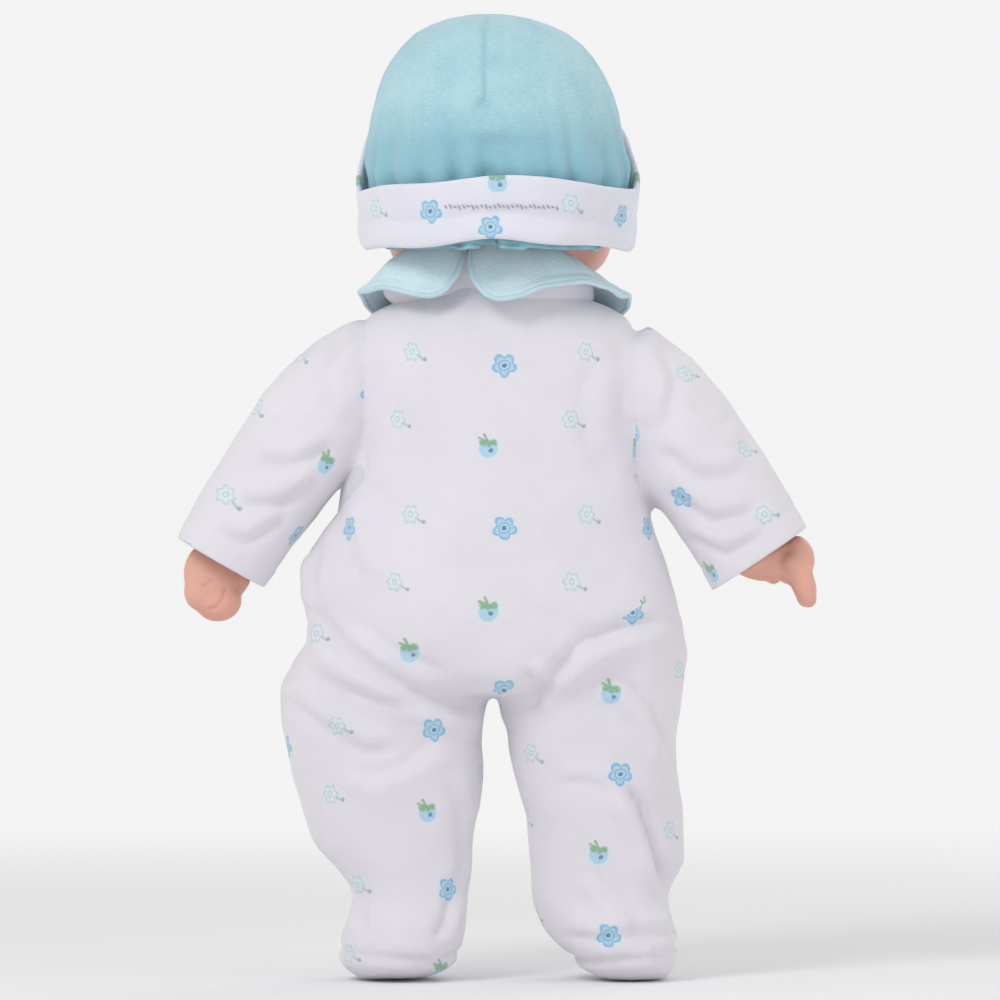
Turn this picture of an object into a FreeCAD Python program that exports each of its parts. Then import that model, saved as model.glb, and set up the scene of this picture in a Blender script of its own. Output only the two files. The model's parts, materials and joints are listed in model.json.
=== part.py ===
"""Soft-bodied interactive baby doll, dressed in a knit hat and a footed sleeper.

Frame: +Z is up along the body, the doll faces -Y, its own left side is +X.
The origin lies on the floor plane under the middle of the doll. Millimetres.

The head and the hands are hollow or solid vinyl, held in the cloth body by cable ties.
The cloth limbs turn at the shoulder and hip seams: each limb starts as a ball round its
pivot, and the body leaves a pocket or a flat side that the ball turns against.
A sound unit sits in the back of the stuffing, and a press pad behind the tummy works it.
"""
import FreeCAD, Part

import math
import os

from FreeCAD import Matrix, Placement, Rotation
from FreeCAD import Vector as V

# ---------------------------------------------------------------- driving dimensions
# overall
hip_z = 112.0            # hip pivots above the floor
torso_half_wide = 67.0   # at the hips
torso_half_deep = 40.0

# fabrics and fits
jersey = 1.2             # printed jersey of the sleeper
body_cloth = 1.0         # woven cloth of the doll's body
knit = 1.6               # hat crown
layer_gap = 0.4          # between the sleeper and what it covers
fill_gap = 0.2           # between body cloth and stuffing
joint_gap = 0.6          # between a limb and the body it turns against
hat_gap = 0.7            # between the head and the hat

# head
head_z = hip_z + 196.0   # middle of the cranium
head_rx, head_ry, head_rz = 46.0, 51.5, 44.0
face_down, face_front = 32.0, 14.0
face_rx, face_ry, face_rz = 41.5, 34.0, 25.0
vinyl = 3.0              # wall of the head
ear_down, ear_back = 22.0, 5.0
ear_rx, ear_ry, ear_rz = 4.4, 7.0, 10.5
nose_r, nose_down = 5.2, 24.0
eye_r, eye_out = 10.0, 1.6
eye_x, eye_down = 17.5, 12.0
eye_gap = 0.35
rocker_r, rocker_gap = 1.6, 0.7   # the bar, and the room from an eyeball to its middle
head_turn = 60.0         # how far the head turns each way, in degrees
head_turn_steps = 5
head_clear = 0.7         # between the turning jaw and the collar
weight_r, weight_long = 5.2, 15.0
weight_back, weight_down = 11.0, 16.0

# neck
neck_r = 20.5
groove_r = 18.2
flange_r, flange_thick = 23.5, 4.0
groove_high = 5.6
tie_thick, tie_wide = 1.6, 3.2
neck_hole_deep = 22.0    # half depth of the sleeper's neck opening

# hat
crown_z = head_z - 2.0   # where the straight side of the hat turns into its dome
cuff_back_z = head_z - 40.0
cuff_front_z = head_z - 1.0
cuff_high = 24.0
cuff_thick = 2.5

# torso: height above the hips, shares of the half width and half depth, middle in Y
torso_rings = [
    (-8.0, 0.51, 0.55, 4.0),
    (1.0, 0.85, 0.83, 2.0),
    (14.0, 1.00, 0.96, 0.0),
    (28.0, 0.985, 1.00, -1.0),
    (43.0, 0.89, 0.98, -2.0),
    (58.0, 0.79, 0.94, -2.0),
    (76.0, 0.72, 0.89, -2.0),
    (100.0, 0.72, 0.80, -1.0),
    (121.0, 0.71, 0.71, 0.0),
    (131.0, 0.63, 0.65, 0.0),
    (137.0, 0.47, 0.60, 0.0),
]
neck_cap_up = 129.0      # underside of the cloth cap over the neck flange, above the hips
web = 5.0                # half width of the cloth left between the legs

# collar, from the back to the front at equal turns:
# top radius, top height above the hips, share of the collar's reach, outer height above the hips
collar_thick = 1.6
collar_reach = torso_half_wide * 0.7015   # over the shoulders, from the neck's middle
collar_half_gap = 3.2    # from the centre line to a collar half, in degrees
collar_edges = [
    (25.0, 152.3, 0.723, 138.5),
    (25.0, 145.4, 0.819, 138.3),
    (25.2, 141.6, 0.947, 137.8),
    (25.6, 140.4, 1.000, 137.0),
    (25.8, 139.8, 0.947, 132.0),
    (26.0, 139.0, 0.851, 127.0),
    (26.2, 138.2, 0.787, 125.0),
]

# arms
shoulder_z = hip_z + 110.0
arm_lean = 32.3          # from straight down, outwards, in degrees
arm_side_gap = 1.4       # between the body's side and the flat inner face of the arm
shoulder_out = 3.0       # from that flat face to the pivot
sleeve_cap_r = 20.8
sleeve_elbow_r = 23.5
sleeve_cuff_r = 21.0
sleeve_long = 84.0
upper_arm_r = 18.5
upper_arm_end_r = 14.6
upper_arm_long = 39.5
forearm_r = 12.4
wrist_r = 9.4
wrist_at = 87.0
arm_groove_r = 10.2
limb_groove_wide = 4.2
limb_flange_thick = 3.0
palm_at, palm_rx, palm_ry, palm_rz = 96.0, 10.6, 8.0, 12.0
palm_out = 1.0           # the palm lies this far to the outside of the arm's axis
finger_r, finger_long, finger_pitch = 3.1, 11.0, 4.6
thumb_r, thumb_long = 3.4, 12.0

# legs
hip_x = torso_half_wide * 0.57
hip_y = -6.0
hip_ball_r = 30.0
thigh_slack = 2.2        # from the sleeper's leg to the thigh inside it
thigh_low_z = hip_z - 34.0
thigh_end_r = 19.0
shin_r, ankle_r = 18.0, 13.5
shin_z, ankle_z = hip_z * 0.46, 30.0
knee_groove_r = 15.0
foot_y, foot_z = -8.0, 17.0
foot_rx, foot_ry, foot_rz = 22.5, 30.0, 23.0
sole_thick = 1.6
toe_gap = 3.2            # between the vinyl foot and the sleeper's foot
seat_front_up = 33.5     # the tummy ends this far above the hips, over the seated thighs
# height as a share of the hips' height, middle in X and half width as shares of the
# torso's half width, and half depth
leg_rings = {
    "left": [
        (1.00, 0.605, 0.450, 29.3),
        (0.88, 0.650, 0.550, 28.6),
        (0.71, 0.632, 0.535, 27.5),
        (0.54, 0.605, 0.480, 25.5),
        (0.375, 0.535, 0.380, 22.5),
        (0.268, 0.500, 0.310, 19.5),
        (0.196, 0.500, 0.290, 18.0),
    ],
    "right": [
        (1.00, 0.560, 0.435, 29.3),
        (0.88, 0.545, 0.450, 28.6),
        (0.71, 0.545, 0.452, 27.5),
        (0.54, 0.575, 0.425, 25.5),
        (0.375, 0.590, 0.403, 22.5),
        (0.268, 0.567, 0.343, 19.5),
        (0.196, 0.567, 0.300, 18.0),
    ],
}
shin_share = 0.552       # middle of the shin, and of each foot, as shares of that half width
foot_share = {"left": 0.525, "right": 0.625}

# front opening of the sleeper
placket_wide, placket_thick = 15.0, 0.9
placket_low_up, placket_high_up = 36.0, 130.0
snap_r, snap_thick = 4.2, 1.8
snap_count, snap_first_up, snap_pitch = 3, 117.0, 30.0

# sound unit
unit_wide, unit_deep, unit_high = 64.0, 23.0, 46.0
unit_low_z = hip_z + 34.0
unit_cover = 2.0         # from its back corners to the body cloth
unit_wall = 1.6
unit_corner_r = 4.0
pocket_gap = 0.6
cell_r, cell_long = 5.25, 44.5
cell_pitch = 11.6
cell_low = 11.4          # lower cell above the unit's base
contact_gap = 3.2        # between a cell's flat end and its plate, where the leaf stands
leaf_wide, leaf_high, leaf_thick = 6.4, 5.0, 0.4
door_low, door_wide, door_high, door_gap = 4.6, 52.0, 30.2, 0.25
door_screw_up, door_screw_r, door_screw_long = 31.6, 0.9, 5.0
boss_r, screw_r, screw_head_r, screw_head_thick = 2.4, 1.2, 2.2, 1.5
screw_inset = 3.6
screw_long = 14.0
speaker_r, speaker_rim_thick = 17.5, 2.4
magnet_r, magnet_thick = 9.0, 3.4
grille_hole_r, grille_pitch = 1.2, 4.4
board_wide, board_high, board_thick = 44.0, 34.0, 1.2
chip_r, chip_thick = 4.0, 1.4
switch_up = 39.2
switch_wide, switch_high, switch_deep = 13.0, 5.6, 5.0
knob_wide, knob_high, knob_out = 4.0, 2.6, 2.6
knob_travel = 3.0
slot_gap = 0.3

# press pad behind the tummy
pad_z = hip_z + 66.0
pad_r, pad_thick = 16.0, 6.0
pad_cover = 4.0          # from the pad's cap to the body cloth
cap_r, cap_thick, cap_dome, cap_hollow = 13.0, 3.0, 2.4, 0.8
cap_travel = 2.0
pad_wall = 1.6
foam_outer_r, foam_inner_r = 9.5, 5.0
button_wide, button_thick = 6.0, 2.4
lead_r = 0.9

# body closure at the back
flap_wide, flap_high, flap_low_up, flap_gap = 46.0, 40.0, 37.0, 0.3

SIDES = {"left": 1, "right": -1}
FAR = 400.0


# ---------------------------------------------------------------- shape helpers
def ellipsoid(centre, rx, ry, rz):
    """A closed ellipsoid round a centre, its axes along X, Y and Z."""
    matrix = Matrix()
    matrix.scale(rx, ry, rz)
    solid = Part.makeSphere(1.0).transformGeometry(matrix)
    solid.translate(centre)
    return solid


def ring_wire(z, cx, cy, rx, ry, points=16):
    """A smooth closed curve of elliptic outline in a level plane."""
    turn = 2 * math.pi / points
    places = [
        V(cx + rx * math.cos(i * turn), cy + ry * math.sin(i * turn), z)
        for i in range(points)
    ]
    curve = Part.BSplineCurve()
    curve.interpolate(Points=places, PeriodicFlag=True)
    return Part.Wire([curve.toShape()])


def loft(rings):
    """A solid through rings of (z, cx, cy, rx, ry), lowest ring first or last."""
    return Part.makeLoft([ring_wire(*ring) for ring in rings], True, False)


def block(x0, x1, y0, y1, z0, z1):
    """A box between two values on each axis."""
    return Part.makeBox(x1 - x0, y1 - y0, z1 - z0, V(x0, y0, z0))


def rod(start, end, radius):
    """A cylinder from one point to another."""
    along = end - start
    return Part.makeCylinder(radius, along.Length, start, along)


def capsule(start, end, radius):
    """A rod with round ends."""
    shape = rod(start, end, radius)
    return shape.multiFuse([Part.makeSphere(radius, start), Part.makeSphere(radius, end)])


def turned(points, axis_place):
    """A solid turned from a closed outline of (radius, distance along the axis)."""
    outline = Part.makePolygon([V(r, 0, s) for r, s in points + points[:1]])
    solid = Part.Face(outline).revolve(V(0, 0, 0), V(0, 0, 1), 360)
    solid.Placement = axis_place
    return solid


def whole(shape):
    """The shape's solids as one shape, without leftover faces."""
    solids = shape.Solids
    return solids[0] if len(solids) == 1 else Part.makeCompound(solids)


# ---------------------------------------------------------------- places worked out
hat_rx = head_rx + hat_gap + knit
hat_ry = head_ry + hat_gap + knit
hat_rz = head_z + head_rz + hat_gap + knit - crown_z
face_z = head_z - face_down
nose_z = head_z - nose_down
eye_z = head_z - eye_down
eye_y = eye_r - eye_out - head_ry * math.sqrt(1 - (eye_x / head_rx) ** 2 - (eye_down / head_rz) ** 2)
flange_z = hip_z + neck_cap_up - 0.5 - flange_thick
fill_top_z = flange_z - 0.7
groove_z = flange_z + flange_thick
neck_start_z = groove_z + groove_high
neck_cap_z = hip_z + neck_cap_up
body_inset = jersey + layer_gap
fill_inset = body_inset + body_cloth + fill_gap
side_share = max(share for rise, share, _, _ in torso_rings if 70 < rise < 125)
arm_plane_x = torso_half_wide * side_share + arm_side_gap
shoulder_x = arm_plane_x + shoulder_out
thigh_ball_r = hip_ball_r - thigh_slack
knee_mid_x = torso_half_wide * shin_share


def torso_span_at(x, z, inset):
    """The front and the back of the torso's outline at a place, drawn in by inset."""
    near = min(torso_rings, key=lambda ring: abs(hip_z + ring[0] - z))
    _, wide, deep, middle = near
    room = 1 - (x / (torso_half_wide * wide - inset)) ** 2
    half = (torso_half_deep * deep - inset) * math.sqrt(max(room, 0.0))
    return middle - half, middle + half


unit_mid_z = unit_low_z + unit_high / 2
unit_high_z = unit_low_z + unit_high
unit_back_y = torso_span_at(unit_wide / 2, unit_high_z, fill_inset)[1] - unit_cover
unit_front_y = unit_back_y - unit_deep
split_y = unit_front_y + unit_deep / 2
cell_y = unit_back_y - unit_wall - cell_r - 0.3
board_y = unit_front_y + unit_wall + speaker_rim_thick + magnet_thick + 0.4
switch_z = unit_low_z + switch_up
speaker_y = unit_front_y + unit_wall + 0.1
cap_high = cap_thick + cap_dome
pad_front_y = torso_span_at(0.0, pad_z, fill_inset)[0] + pad_cover
cap_back_y = pad_front_y + cap_high
pad_back_y = cap_back_y + cap_travel + 0.2 + button_thick + pad_wall


def arm_place(side):
    """Origin at the shoulder pivot, with local +Z down the arm."""
    lean = math.radians(arm_lean)
    down_arm = V(SIDES[side] * math.sin(lean), 0, -math.cos(lean))
    return Placement(V(SIDES[side] * shoulder_x, 0, shoulder_z), Rotation(V(0, 0, 1), down_arm))


def arm_point(side, along, out=0.0, y=0.0):
    """A point at a distance down the arm, shifted outwards and in Y."""
    lean = math.radians(arm_lean)
    x = shoulder_x + along * math.sin(lean) + out * math.cos(lean)
    z = shoulder_z - along * math.cos(lean) + out * math.sin(lean)
    return V(SIDES[side] * x, y, z)


def hip_point(side):
    return V(SIDES[side] * hip_x, hip_y, hip_z)


def foot_point(side):
    return V(SIDES[side] * torso_half_wide * foot_share[side], foot_y, foot_z)


def torso_solid(inset):
    """The torso's outline, drawn in by inset all round."""
    low = torso_rings[0][0]
    rings = []
    for rise, wide, deep, middle in torso_rings:
        lift = inset if rise == low else 0.0
        rings.append((hip_z + rise + lift, 0.0, middle,
                      torso_half_wide * wide - inset, torso_half_deep * deep - inset))
    return loft(rings)


def leg_solid(side, inset):
    """The outline of the sleeper's leg and foot, drawn in by inset all round."""
    rings = []
    for share, middle, wide, deep in leg_rings[side]:
        z = hip_z * share
        cy = hip_y if z > shin_z else foot_y + 3.0
        cx = SIDES[side] * torso_half_wide * middle
        rings.append((z, cx, cy, torso_half_wide * wide - inset, deep - inset))
    foot = ellipsoid(foot_point(side), foot_rx - inset, foot_ry - inset, foot_rz - inset)
    ball = Part.makeSphere(hip_ball_r - inset, hip_point(side))
    return loft(rings).multiFuse([foot, ball])


def crown_solid(grow):
    """The outside of the hat's crown, grown by grow, down to its lowest edge."""
    low = -(crown_z - cuff_back_z + 5) / (hat_rz + grow)
    half = math.sqrt(0.5)
    outline = [
        Part.Arc(V(0, 0, 1), V(half, 0, half), V(1, 0, 0)).toShape(),
        Part.makeLine(V(1, 0, 0), V(1, 0, low)),
        Part.makeLine(V(1, 0, low), V(0, 0, low)),
        Part.makeLine(V(0, 0, low), V(0, 0, 1)),
    ]
    unit = Part.Face(Part.Wire(outline)).revolve(V(0, 0, 0), V(0, 0, 1), 360)
    matrix = Matrix()
    matrix.scale(hat_rx + grow, hat_ry + grow, hat_rz + grow)
    solid = unit.transformGeometry(matrix)
    solid.translate(V(0, 0, crown_z))
    return solid


def above_cuff_line(lift):
    """Everything above the cuff's lower edge, raised by lift: level at the nape, high in front."""
    nape_y, brow_y = 18.0, -52.0
    curve = Part.BSplineCurve()
    curve.interpolate(Points=[
        V(-80, -80, cuff_front_z + 8 + lift),
        V(-80, brow_y, cuff_front_z - 1 + lift),
        V(-80, -18, (cuff_back_z + cuff_front_z) / 2 - 6 + lift),
        V(-80, nape_y, cuff_back_z + 0.5 + lift),
        V(-80, 80, cuff_back_z + lift),
    ])
    rim = [V(-80, 80, FAR), V(-80, -80, FAR)]
    edges = [
        curve.toShape(),
        Part.makeLine(V(-80, 80, cuff_back_z + lift), rim[0]),
        Part.makeLine(rim[0], rim[1]),
        Part.makeLine(rim[1], V(-80, -80, cuff_front_z + 8 + lift)),
    ]
    return Part.Face(Part.Wire(Part.__sortEdges__(edges))).extrude(V(160, 0, 0))


def leg_clearance():
    """What the torso leaves free for the legs: the ball pockets and the swing of the thighs."""
    tools = []
    for side, sign in SIDES.items():
        tools.append(Part.makeSphere(hip_ball_r + joint_gap, hip_point(side)))
        inner, outer = sorted((sign * web, sign * FAR))
        low = hip_z - 52
        tools.append(block(inner, outer, -FAR, hip_y, low, hip_z + seat_front_up))
        tools.append(block(inner, outer, -FAR, FAR, low, hip_z + 1.5))
    return tools


# ---------------------------------------------------------------- clothing
def sleeper_body():
    inner = torso_solid(jersey)
    low = neck_cap_z - 1.0
    neck_hole = loft([
        (low, 0, 0, 28.0, neck_hole_deep),
        (low + 15, 0, 0, 28.0, neck_hole_deep),
    ])
    shell = torso_solid(0.0).cut(inner).cut(neck_hole)
    return whole(shell.cut(leg_clearance()))


def sleeve(side):
    wall = jersey
    arc_steps = 8

    def outline(inset):
        cap = sleeve_cap_r - inset
        points = [
            (cap * math.sin(math.pi / 2 * i / arc_steps), -cap * math.cos(math.pi / 2 * i / arc_steps))
            for i in range(arc_steps)
        ]
        return points + [
            (cap, 0.0),
            (sleeve_elbow_r - 0.5 - inset, sleeve_long * 0.25),
            (sleeve_elbow_r - inset, sleeve_long * 0.5),
            (sleeve_elbow_r - 1.0 - inset, sleeve_long * 0.75),
            (sleeve_cuff_r - inset, sleeve_long),
        ]

    tube = outline(0.0) + outline(wall)[::-1]
    solid = turned(tube, arm_place(side))
    return whole(solid.common(beyond_arm_plane(side)))


def beyond_arm_plane(side):
    """The half space outside the flat inner face of the arm."""
    inner, outer = sorted((SIDES[side] * arm_plane_x, SIDES[side] * FAR))
    return block(inner, outer, -FAR, FAR, 0, FAR)


def sleeper_leg(side):
    shell = leg_solid(side, 0.0).cut(leg_solid(side, jersey))
    below = block(-FAR, FAR, -FAR, FAR, -FAR, sole_thick + 0.1)
    mouth = block(-FAR, FAR, -FAR, FAR, hip_z + hip_ball_r * 0.8, FAR)
    return whole(shell.cut(below).cut(mouth))


def sleeper_sole(side):
    slab = block(-FAR, FAR, -FAR, FAR, 0, sole_thick)
    return whole(leg_solid(side, 0.0).common(slab))


def front_placket():
    band = block(-placket_wide / 2, placket_wide / 2, -FAR, 0,
                 hip_z + placket_low_up, hip_z + placket_high_up)
    strip = torso_solid(-placket_thick).cut(torso_solid(-0.05))
    return whole(strip.common(band))


def placket_snaps():
    """Press studs down the placket, each seated on its face."""
    face = torso_solid(-placket_thick)
    snaps = []
    for i in range(snap_count):
        z = hip_z + snap_first_up - i * snap_pitch
        probe = face.common(Part.makeLine(V(0, -FAR, z), V(0, 0, z)))
        front_y = min(point.Y for point in probe.Vertexes)
        stud = rod(V(0, front_y - snap_thick, z), V(0, 0, z), snap_r)
        snaps.append(stud.cut(torso_solid(-placket_thick - 0.05)))
    front = block(-FAR, FAR, -FAR, -5, 0, FAR)
    return Part.makeCompound([whole(s.common(front)) for s in snaps])


def collar(side):
    """One half of the flat collar, from the centre back round to the centre front."""
    sign = SIDES[side]
    sections = []
    last = len(collar_edges) - 1
    for i, (top_r, top_up, reach, outer_up) in enumerate(collar_edges):
        turn = collar_half_gap + (180 - collar_half_gap * 2) * i / last
        angle = math.radians(turn)
        out = V(sign * math.sin(angle), math.cos(angle), 0)
        top = out * top_r + V(0, 0, hip_z + top_up)
        low = out * (collar_reach * reach) + V(0, 0, hip_z + outer_up)
        slope = (low - top).normalize()
        across = V(-out.x * slope.z, -out.y * slope.z, math.hypot(slope.x, slope.y))
        lift = across * (collar_thick / 2)
        corners = [top + lift, low + lift, low - lift, top - lift]
        sections.append(Part.makePolygon(corners + corners[:1]))
    half = Part.makeLoft(sections, True, True)
    for step in range(head_turn_steps + 1):
        half = half.cut(turned_jaw(sign * head_turn * step / head_turn_steps))
    return whole(half)


def turned_jaw(angle):
    """The jaw with its clearance, as it stands when the head is turned."""
    grown = (face_rx + head_clear, face_ry + head_clear, face_rz + head_clear)
    jaw = ellipsoid(V(0, -face_front, face_z), *grown)
    jaw.rotate(V(), V(0, 0, 1), angle)
    return jaw


def hat_crown():
    shell = crown_solid(0.0).cut(crown_solid(-knit))
    return whole(shell.common(above_cuff_line(0.3)))


def hat_cuff():
    ring = crown_solid(cuff_thick + 0.2).cut(crown_solid(0.2))
    return whole(ring.common(above_cuff_line(0.0)).cut(above_cuff_line(cuff_high)))


# ---------------------------------------------------------------- head
def head_outline(inset):
    parts = [
        ellipsoid(V(0, 0, head_z), head_rx - inset, head_ry - inset, head_rz - inset),
        ellipsoid(V(0, -face_front, face_z), face_rx - inset, face_ry - inset, face_rz - inset),
    ]
    return parts[0].fuse(parts[1])


def eye_centre(side):
    return V(SIDES[side] * eye_x, eye_y, eye_z)


def head_shell():
    nose_y = -face_front - face_ry * math.sqrt(1 - ((nose_z - face_z) / face_rz) ** 2)
    outer = head_outline(0.0)
    outer = outer.fuse(Part.makeSphere(nose_r, V(0, nose_y, nose_z)))
    for sign in SIDES.values():
        ear_x = head_rx - ear_rx + 0.2
        ear = ellipsoid(V(sign * ear_x, ear_back, head_z - ear_down), ear_rx, ear_ry, ear_rz)
        outer = outer.fuse(ear)
    neck = rod(V(0, 0, groove_z), V(0, 0, face_z), groove_r)
    neck = neck.fuse(rod(V(0, 0, neck_start_z), V(0, 0, face_z), neck_r))
    neck = neck.fuse(rod(V(0, 0, flange_z), V(0, 0, groove_z), flange_r))
    bore = rod(V(0, 0, flange_z - 1), V(0, 0, face_z), groove_r - vinyl)
    shell = outer.fuse(neck).cut(head_outline(vinyl)).cut(bore)
    for side in SIDES:
        shell = shell.cut(Part.makeSphere(eye_r + eye_gap, eye_centre(side)))
    return whole(shell)


def eyeball(side):
    """A ball eye with a flat at the back, where it sits on the rocker."""
    centre = eye_centre(side)
    back_y = eye_y + eye_r - 2.0
    return whole(Part.makeSphere(eye_r, centre).cut(block(-FAR, FAR, back_y, FAR, 0, FAR)))


def eye_rocker():
    """The bar behind the eyes, with a post into each and an arm down to the weight."""
    bar_y = eye_y + eye_r + rocker_gap
    bar = rod(V(-eye_x - 1, bar_y, eye_z), V(eye_x + 1, bar_y, eye_z), rocker_r)
    for side in SIDES:
        seat = V(SIDES[side] * eye_x, eye_y + eye_r - 2.0, eye_z)
        bar = bar.fuse(rod(seat, V(seat.x, bar_y, eye_z), rocker_r - 0.3))
    arm_end = V(0, eye_y + weight_back, eye_z - weight_down)
    arm = rod(V(0, bar_y, eye_z), arm_end, rocker_r - 0.3)
    return whole(bar.fuse(arm).cut(eye_weight()))


def eye_weight():
    centre_y, centre_z = eye_y + weight_back, eye_z - weight_down
    return rod(V(-weight_long / 2, centre_y, centre_z), V(weight_long / 2, centre_y, centre_z), weight_r)


# ---------------------------------------------------------------- cloth body
def body_shell():
    """The cloth bag of the torso, closed over the neck flange and open at the limbs."""
    cap_top = neck_cap_z + body_cloth
    outer = torso_solid(body_inset).cut(block(-FAR, FAR, -FAR, FAR, cap_top, FAR))
    inner = torso_solid(body_inset + body_cloth)
    inner = inner.cut(block(-FAR, FAR, -FAR, FAR, neck_cap_z, FAR))
    tube_r = groove_r + 0.7
    tube = rod(V(0, 0, neck_cap_z), V(0, 0, neck_start_z - 0.3), tube_r + body_cloth)
    hole = rod(V(0, 0, neck_cap_z - 20), V(0, 0, neck_cap_z + 20), tube_r)
    shell = outer.cut(inner).fuse(tube).cut(hole)
    return shell.cut(leg_clearance())


def flap_window(gap):
    low, high = hip_z + flap_low_up + gap, hip_z + flap_low_up + flap_high - gap
    return block(-flap_wide / 2 + gap, flap_wide / 2 - gap, 0, FAR, low, high)


def body_skin():
    return whole(body_shell().cut(flap_window(0.0)))


def body_flap():
    return whole(body_shell().common(flap_window(flap_gap)))


def body_stuffing():
    """The filling of the torso, with a pocket for each thing that it holds."""
    fill = torso_solid(fill_inset).cut(block(-FAR, FAR, -FAR, FAR, fill_top_z, FAR))
    gap = pocket_gap
    unit = block(
        -unit_wide / 2 - gap, unit_wide / 2 + gap,
        unit_front_y - gap - screw_head_thick, FAR,
        unit_low_z - gap, unit_high_z + gap,
    )
    pad = rod(V(0, -FAR, pad_z), V(0, pad_back_y + gap, pad_z), pad_r + gap)
    lead = rod(V(0, pad_back_y, pad_z), V(0, unit_front_y, pad_z), lead_r + gap)
    return whole(fill.cut(leg_clearance()).cut(unit).cut(pad).cut(lead))


def neck_tie():
    inner = groove_r + 0.7 + body_cloth + 0.2
    low = neck_cap_z + body_cloth + 0.3
    band = Part.makeCylinder(inner + tie_thick, tie_wide, V(0, 0, low))
    lock = block(inner, inner + 4.5, -3, 3, low, low + tie_wide)
    return whole(band.fuse(lock).cut(Part.makeCylinder(inner, tie_wide, V(0, 0, low))))


# ---------------------------------------------------------------- arms
def upper_arm(side):
    """Stuffed cloth: a ball at the shoulder, a tube, and a hem drawn in over the forearm's groove."""
    hem_r = forearm_r + 0.4
    flange_at = upper_arm_long + 0.5
    groove_at = flange_at + limb_flange_thick + 0.4
    hem_end = groove_at + limb_groove_wide - 1.0
    neck_hole = arm_groove_r + 0.4
    outline = [
        (0, 0), (upper_arm_r - 0.6, 0), (upper_arm_end_r, upper_arm_long),
        (hem_r + body_cloth, upper_arm_long), (hem_r + body_cloth, groove_at + body_cloth),
        (neck_hole + body_cloth, groove_at + body_cloth), (neck_hole + body_cloth, hem_end),
        (neck_hole, hem_end), (neck_hole, groove_at), (hem_r, groove_at),
        (hem_r, upper_arm_long), (0, upper_arm_long),
    ]
    ball = Part.makeSphere(upper_arm_r, arm_point(side, 0))
    solid = turned(outline, arm_place(side)).fuse(ball)
    return whole(solid.common(beyond_arm_plane(side)))


def arm_tie(side):
    inner = arm_groove_r + 0.4 + body_cloth + 0.15
    start = upper_arm_long + 0.5 + limb_flange_thick + 0.4 + body_cloth + 0.15
    end = start + limb_groove_wide - 1.0 - body_cloth - 0.3
    return turned([(inner, start), (inner + tie_thick, start), (inner + tie_thick, end), (inner, end)],
                  arm_place(side))


def forearm(side):
    """Vinyl forearm and hand. Its flange and groove turn inside the upper arm's hem."""
    start = upper_arm_long + 0.5
    groove = start + limb_flange_thick
    body_at = groove + limb_groove_wide
    outline = [
        (0, start), (forearm_r, start), (forearm_r, groove), (arm_groove_r, groove),
        (arm_groove_r, body_at), (forearm_r, body_at), (forearm_r + 0.6, body_at + 12),
        (forearm_r - 1.0, body_at + 28), (wrist_r, wrist_at), (0, wrist_at + 3),
    ]
    arm = turned(outline, arm_place(side))
    hand = ellipsoid(V(0, 0, 0), palm_rx, palm_ry, palm_rz)
    hand.Placement = Placement(arm_point(side, palm_at, palm_out), arm_place(side).Rotation)
    pieces = [hand]
    knuckle_at = palm_at + palm_rz - 6.0
    for i in range(4):
        out = palm_out + (i - 1.5) * finger_pitch
        knuckle = arm_point(side, knuckle_at, out, -1.0)
        middle = arm_point(side, knuckle_at + finger_long * 0.5, out, -4.0)
        tip = arm_point(side, knuckle_at + finger_long * 0.45, out, -4.0 - finger_long * 0.5)
        pieces += [capsule(knuckle, middle, finger_r), capsule(middle, tip, finger_r - 0.2)]
    base = arm_point(side, palm_at - 4, palm_out - palm_rx * 0.75, -2.0)
    tip = base + (arm_point(side, thumb_long * 0.8, -4.0, -5.0) - arm_point(side, 0))
    pieces.append(capsule(base, tip, thumb_r))
    return whole(arm.multiFuse(pieces))


# ---------------------------------------------------------------- legs
def shin_place(side):
    return Placement(V(SIDES[side] * knee_mid_x, hip_y, 0), Rotation())


def thigh(side):
    """Stuffed cloth: a ball at the hip, and a hem drawn in over the lower leg's groove."""
    hem_r = shin_r + 0.4
    flange_top = thigh_low_z - 0.5
    groove_top = flange_top - limb_flange_thick - 0.4
    hem_end = groove_top - limb_groove_wide + 1.0
    neck_hole = knee_groove_r + 0.4
    outline = [
        (0, hip_z), (thigh_ball_r - 3.0, hip_z), (thigh_end_r + 3.0, thigh_low_z + 8),
        (hem_r + body_cloth, thigh_low_z), (hem_r + body_cloth, groove_top - body_cloth),
        (neck_hole + body_cloth, groove_top - body_cloth), (neck_hole + body_cloth, hem_end),
        (neck_hole, hem_end), (neck_hole, groove_top), (hem_r, groove_top),
        (hem_r, thigh_low_z), (0, thigh_low_z),
    ]
    ball = Part.makeSphere(thigh_ball_r, hip_point(side))
    return whole(turned(outline, shin_place(side)).fuse(ball))


def leg_tie(side):
    inner = knee_groove_r + 0.4 + body_cloth + 0.15
    top = thigh_low_z - 0.5 - limb_flange_thick - 0.4 - body_cloth - 0.15
    low = top - limb_groove_wide + 1.0 + body_cloth + 0.3
    return turned([(inner, low), (inner + tie_thick, low), (inner + tie_thick, top), (inner, top)],
                  shin_place(side))


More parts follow.
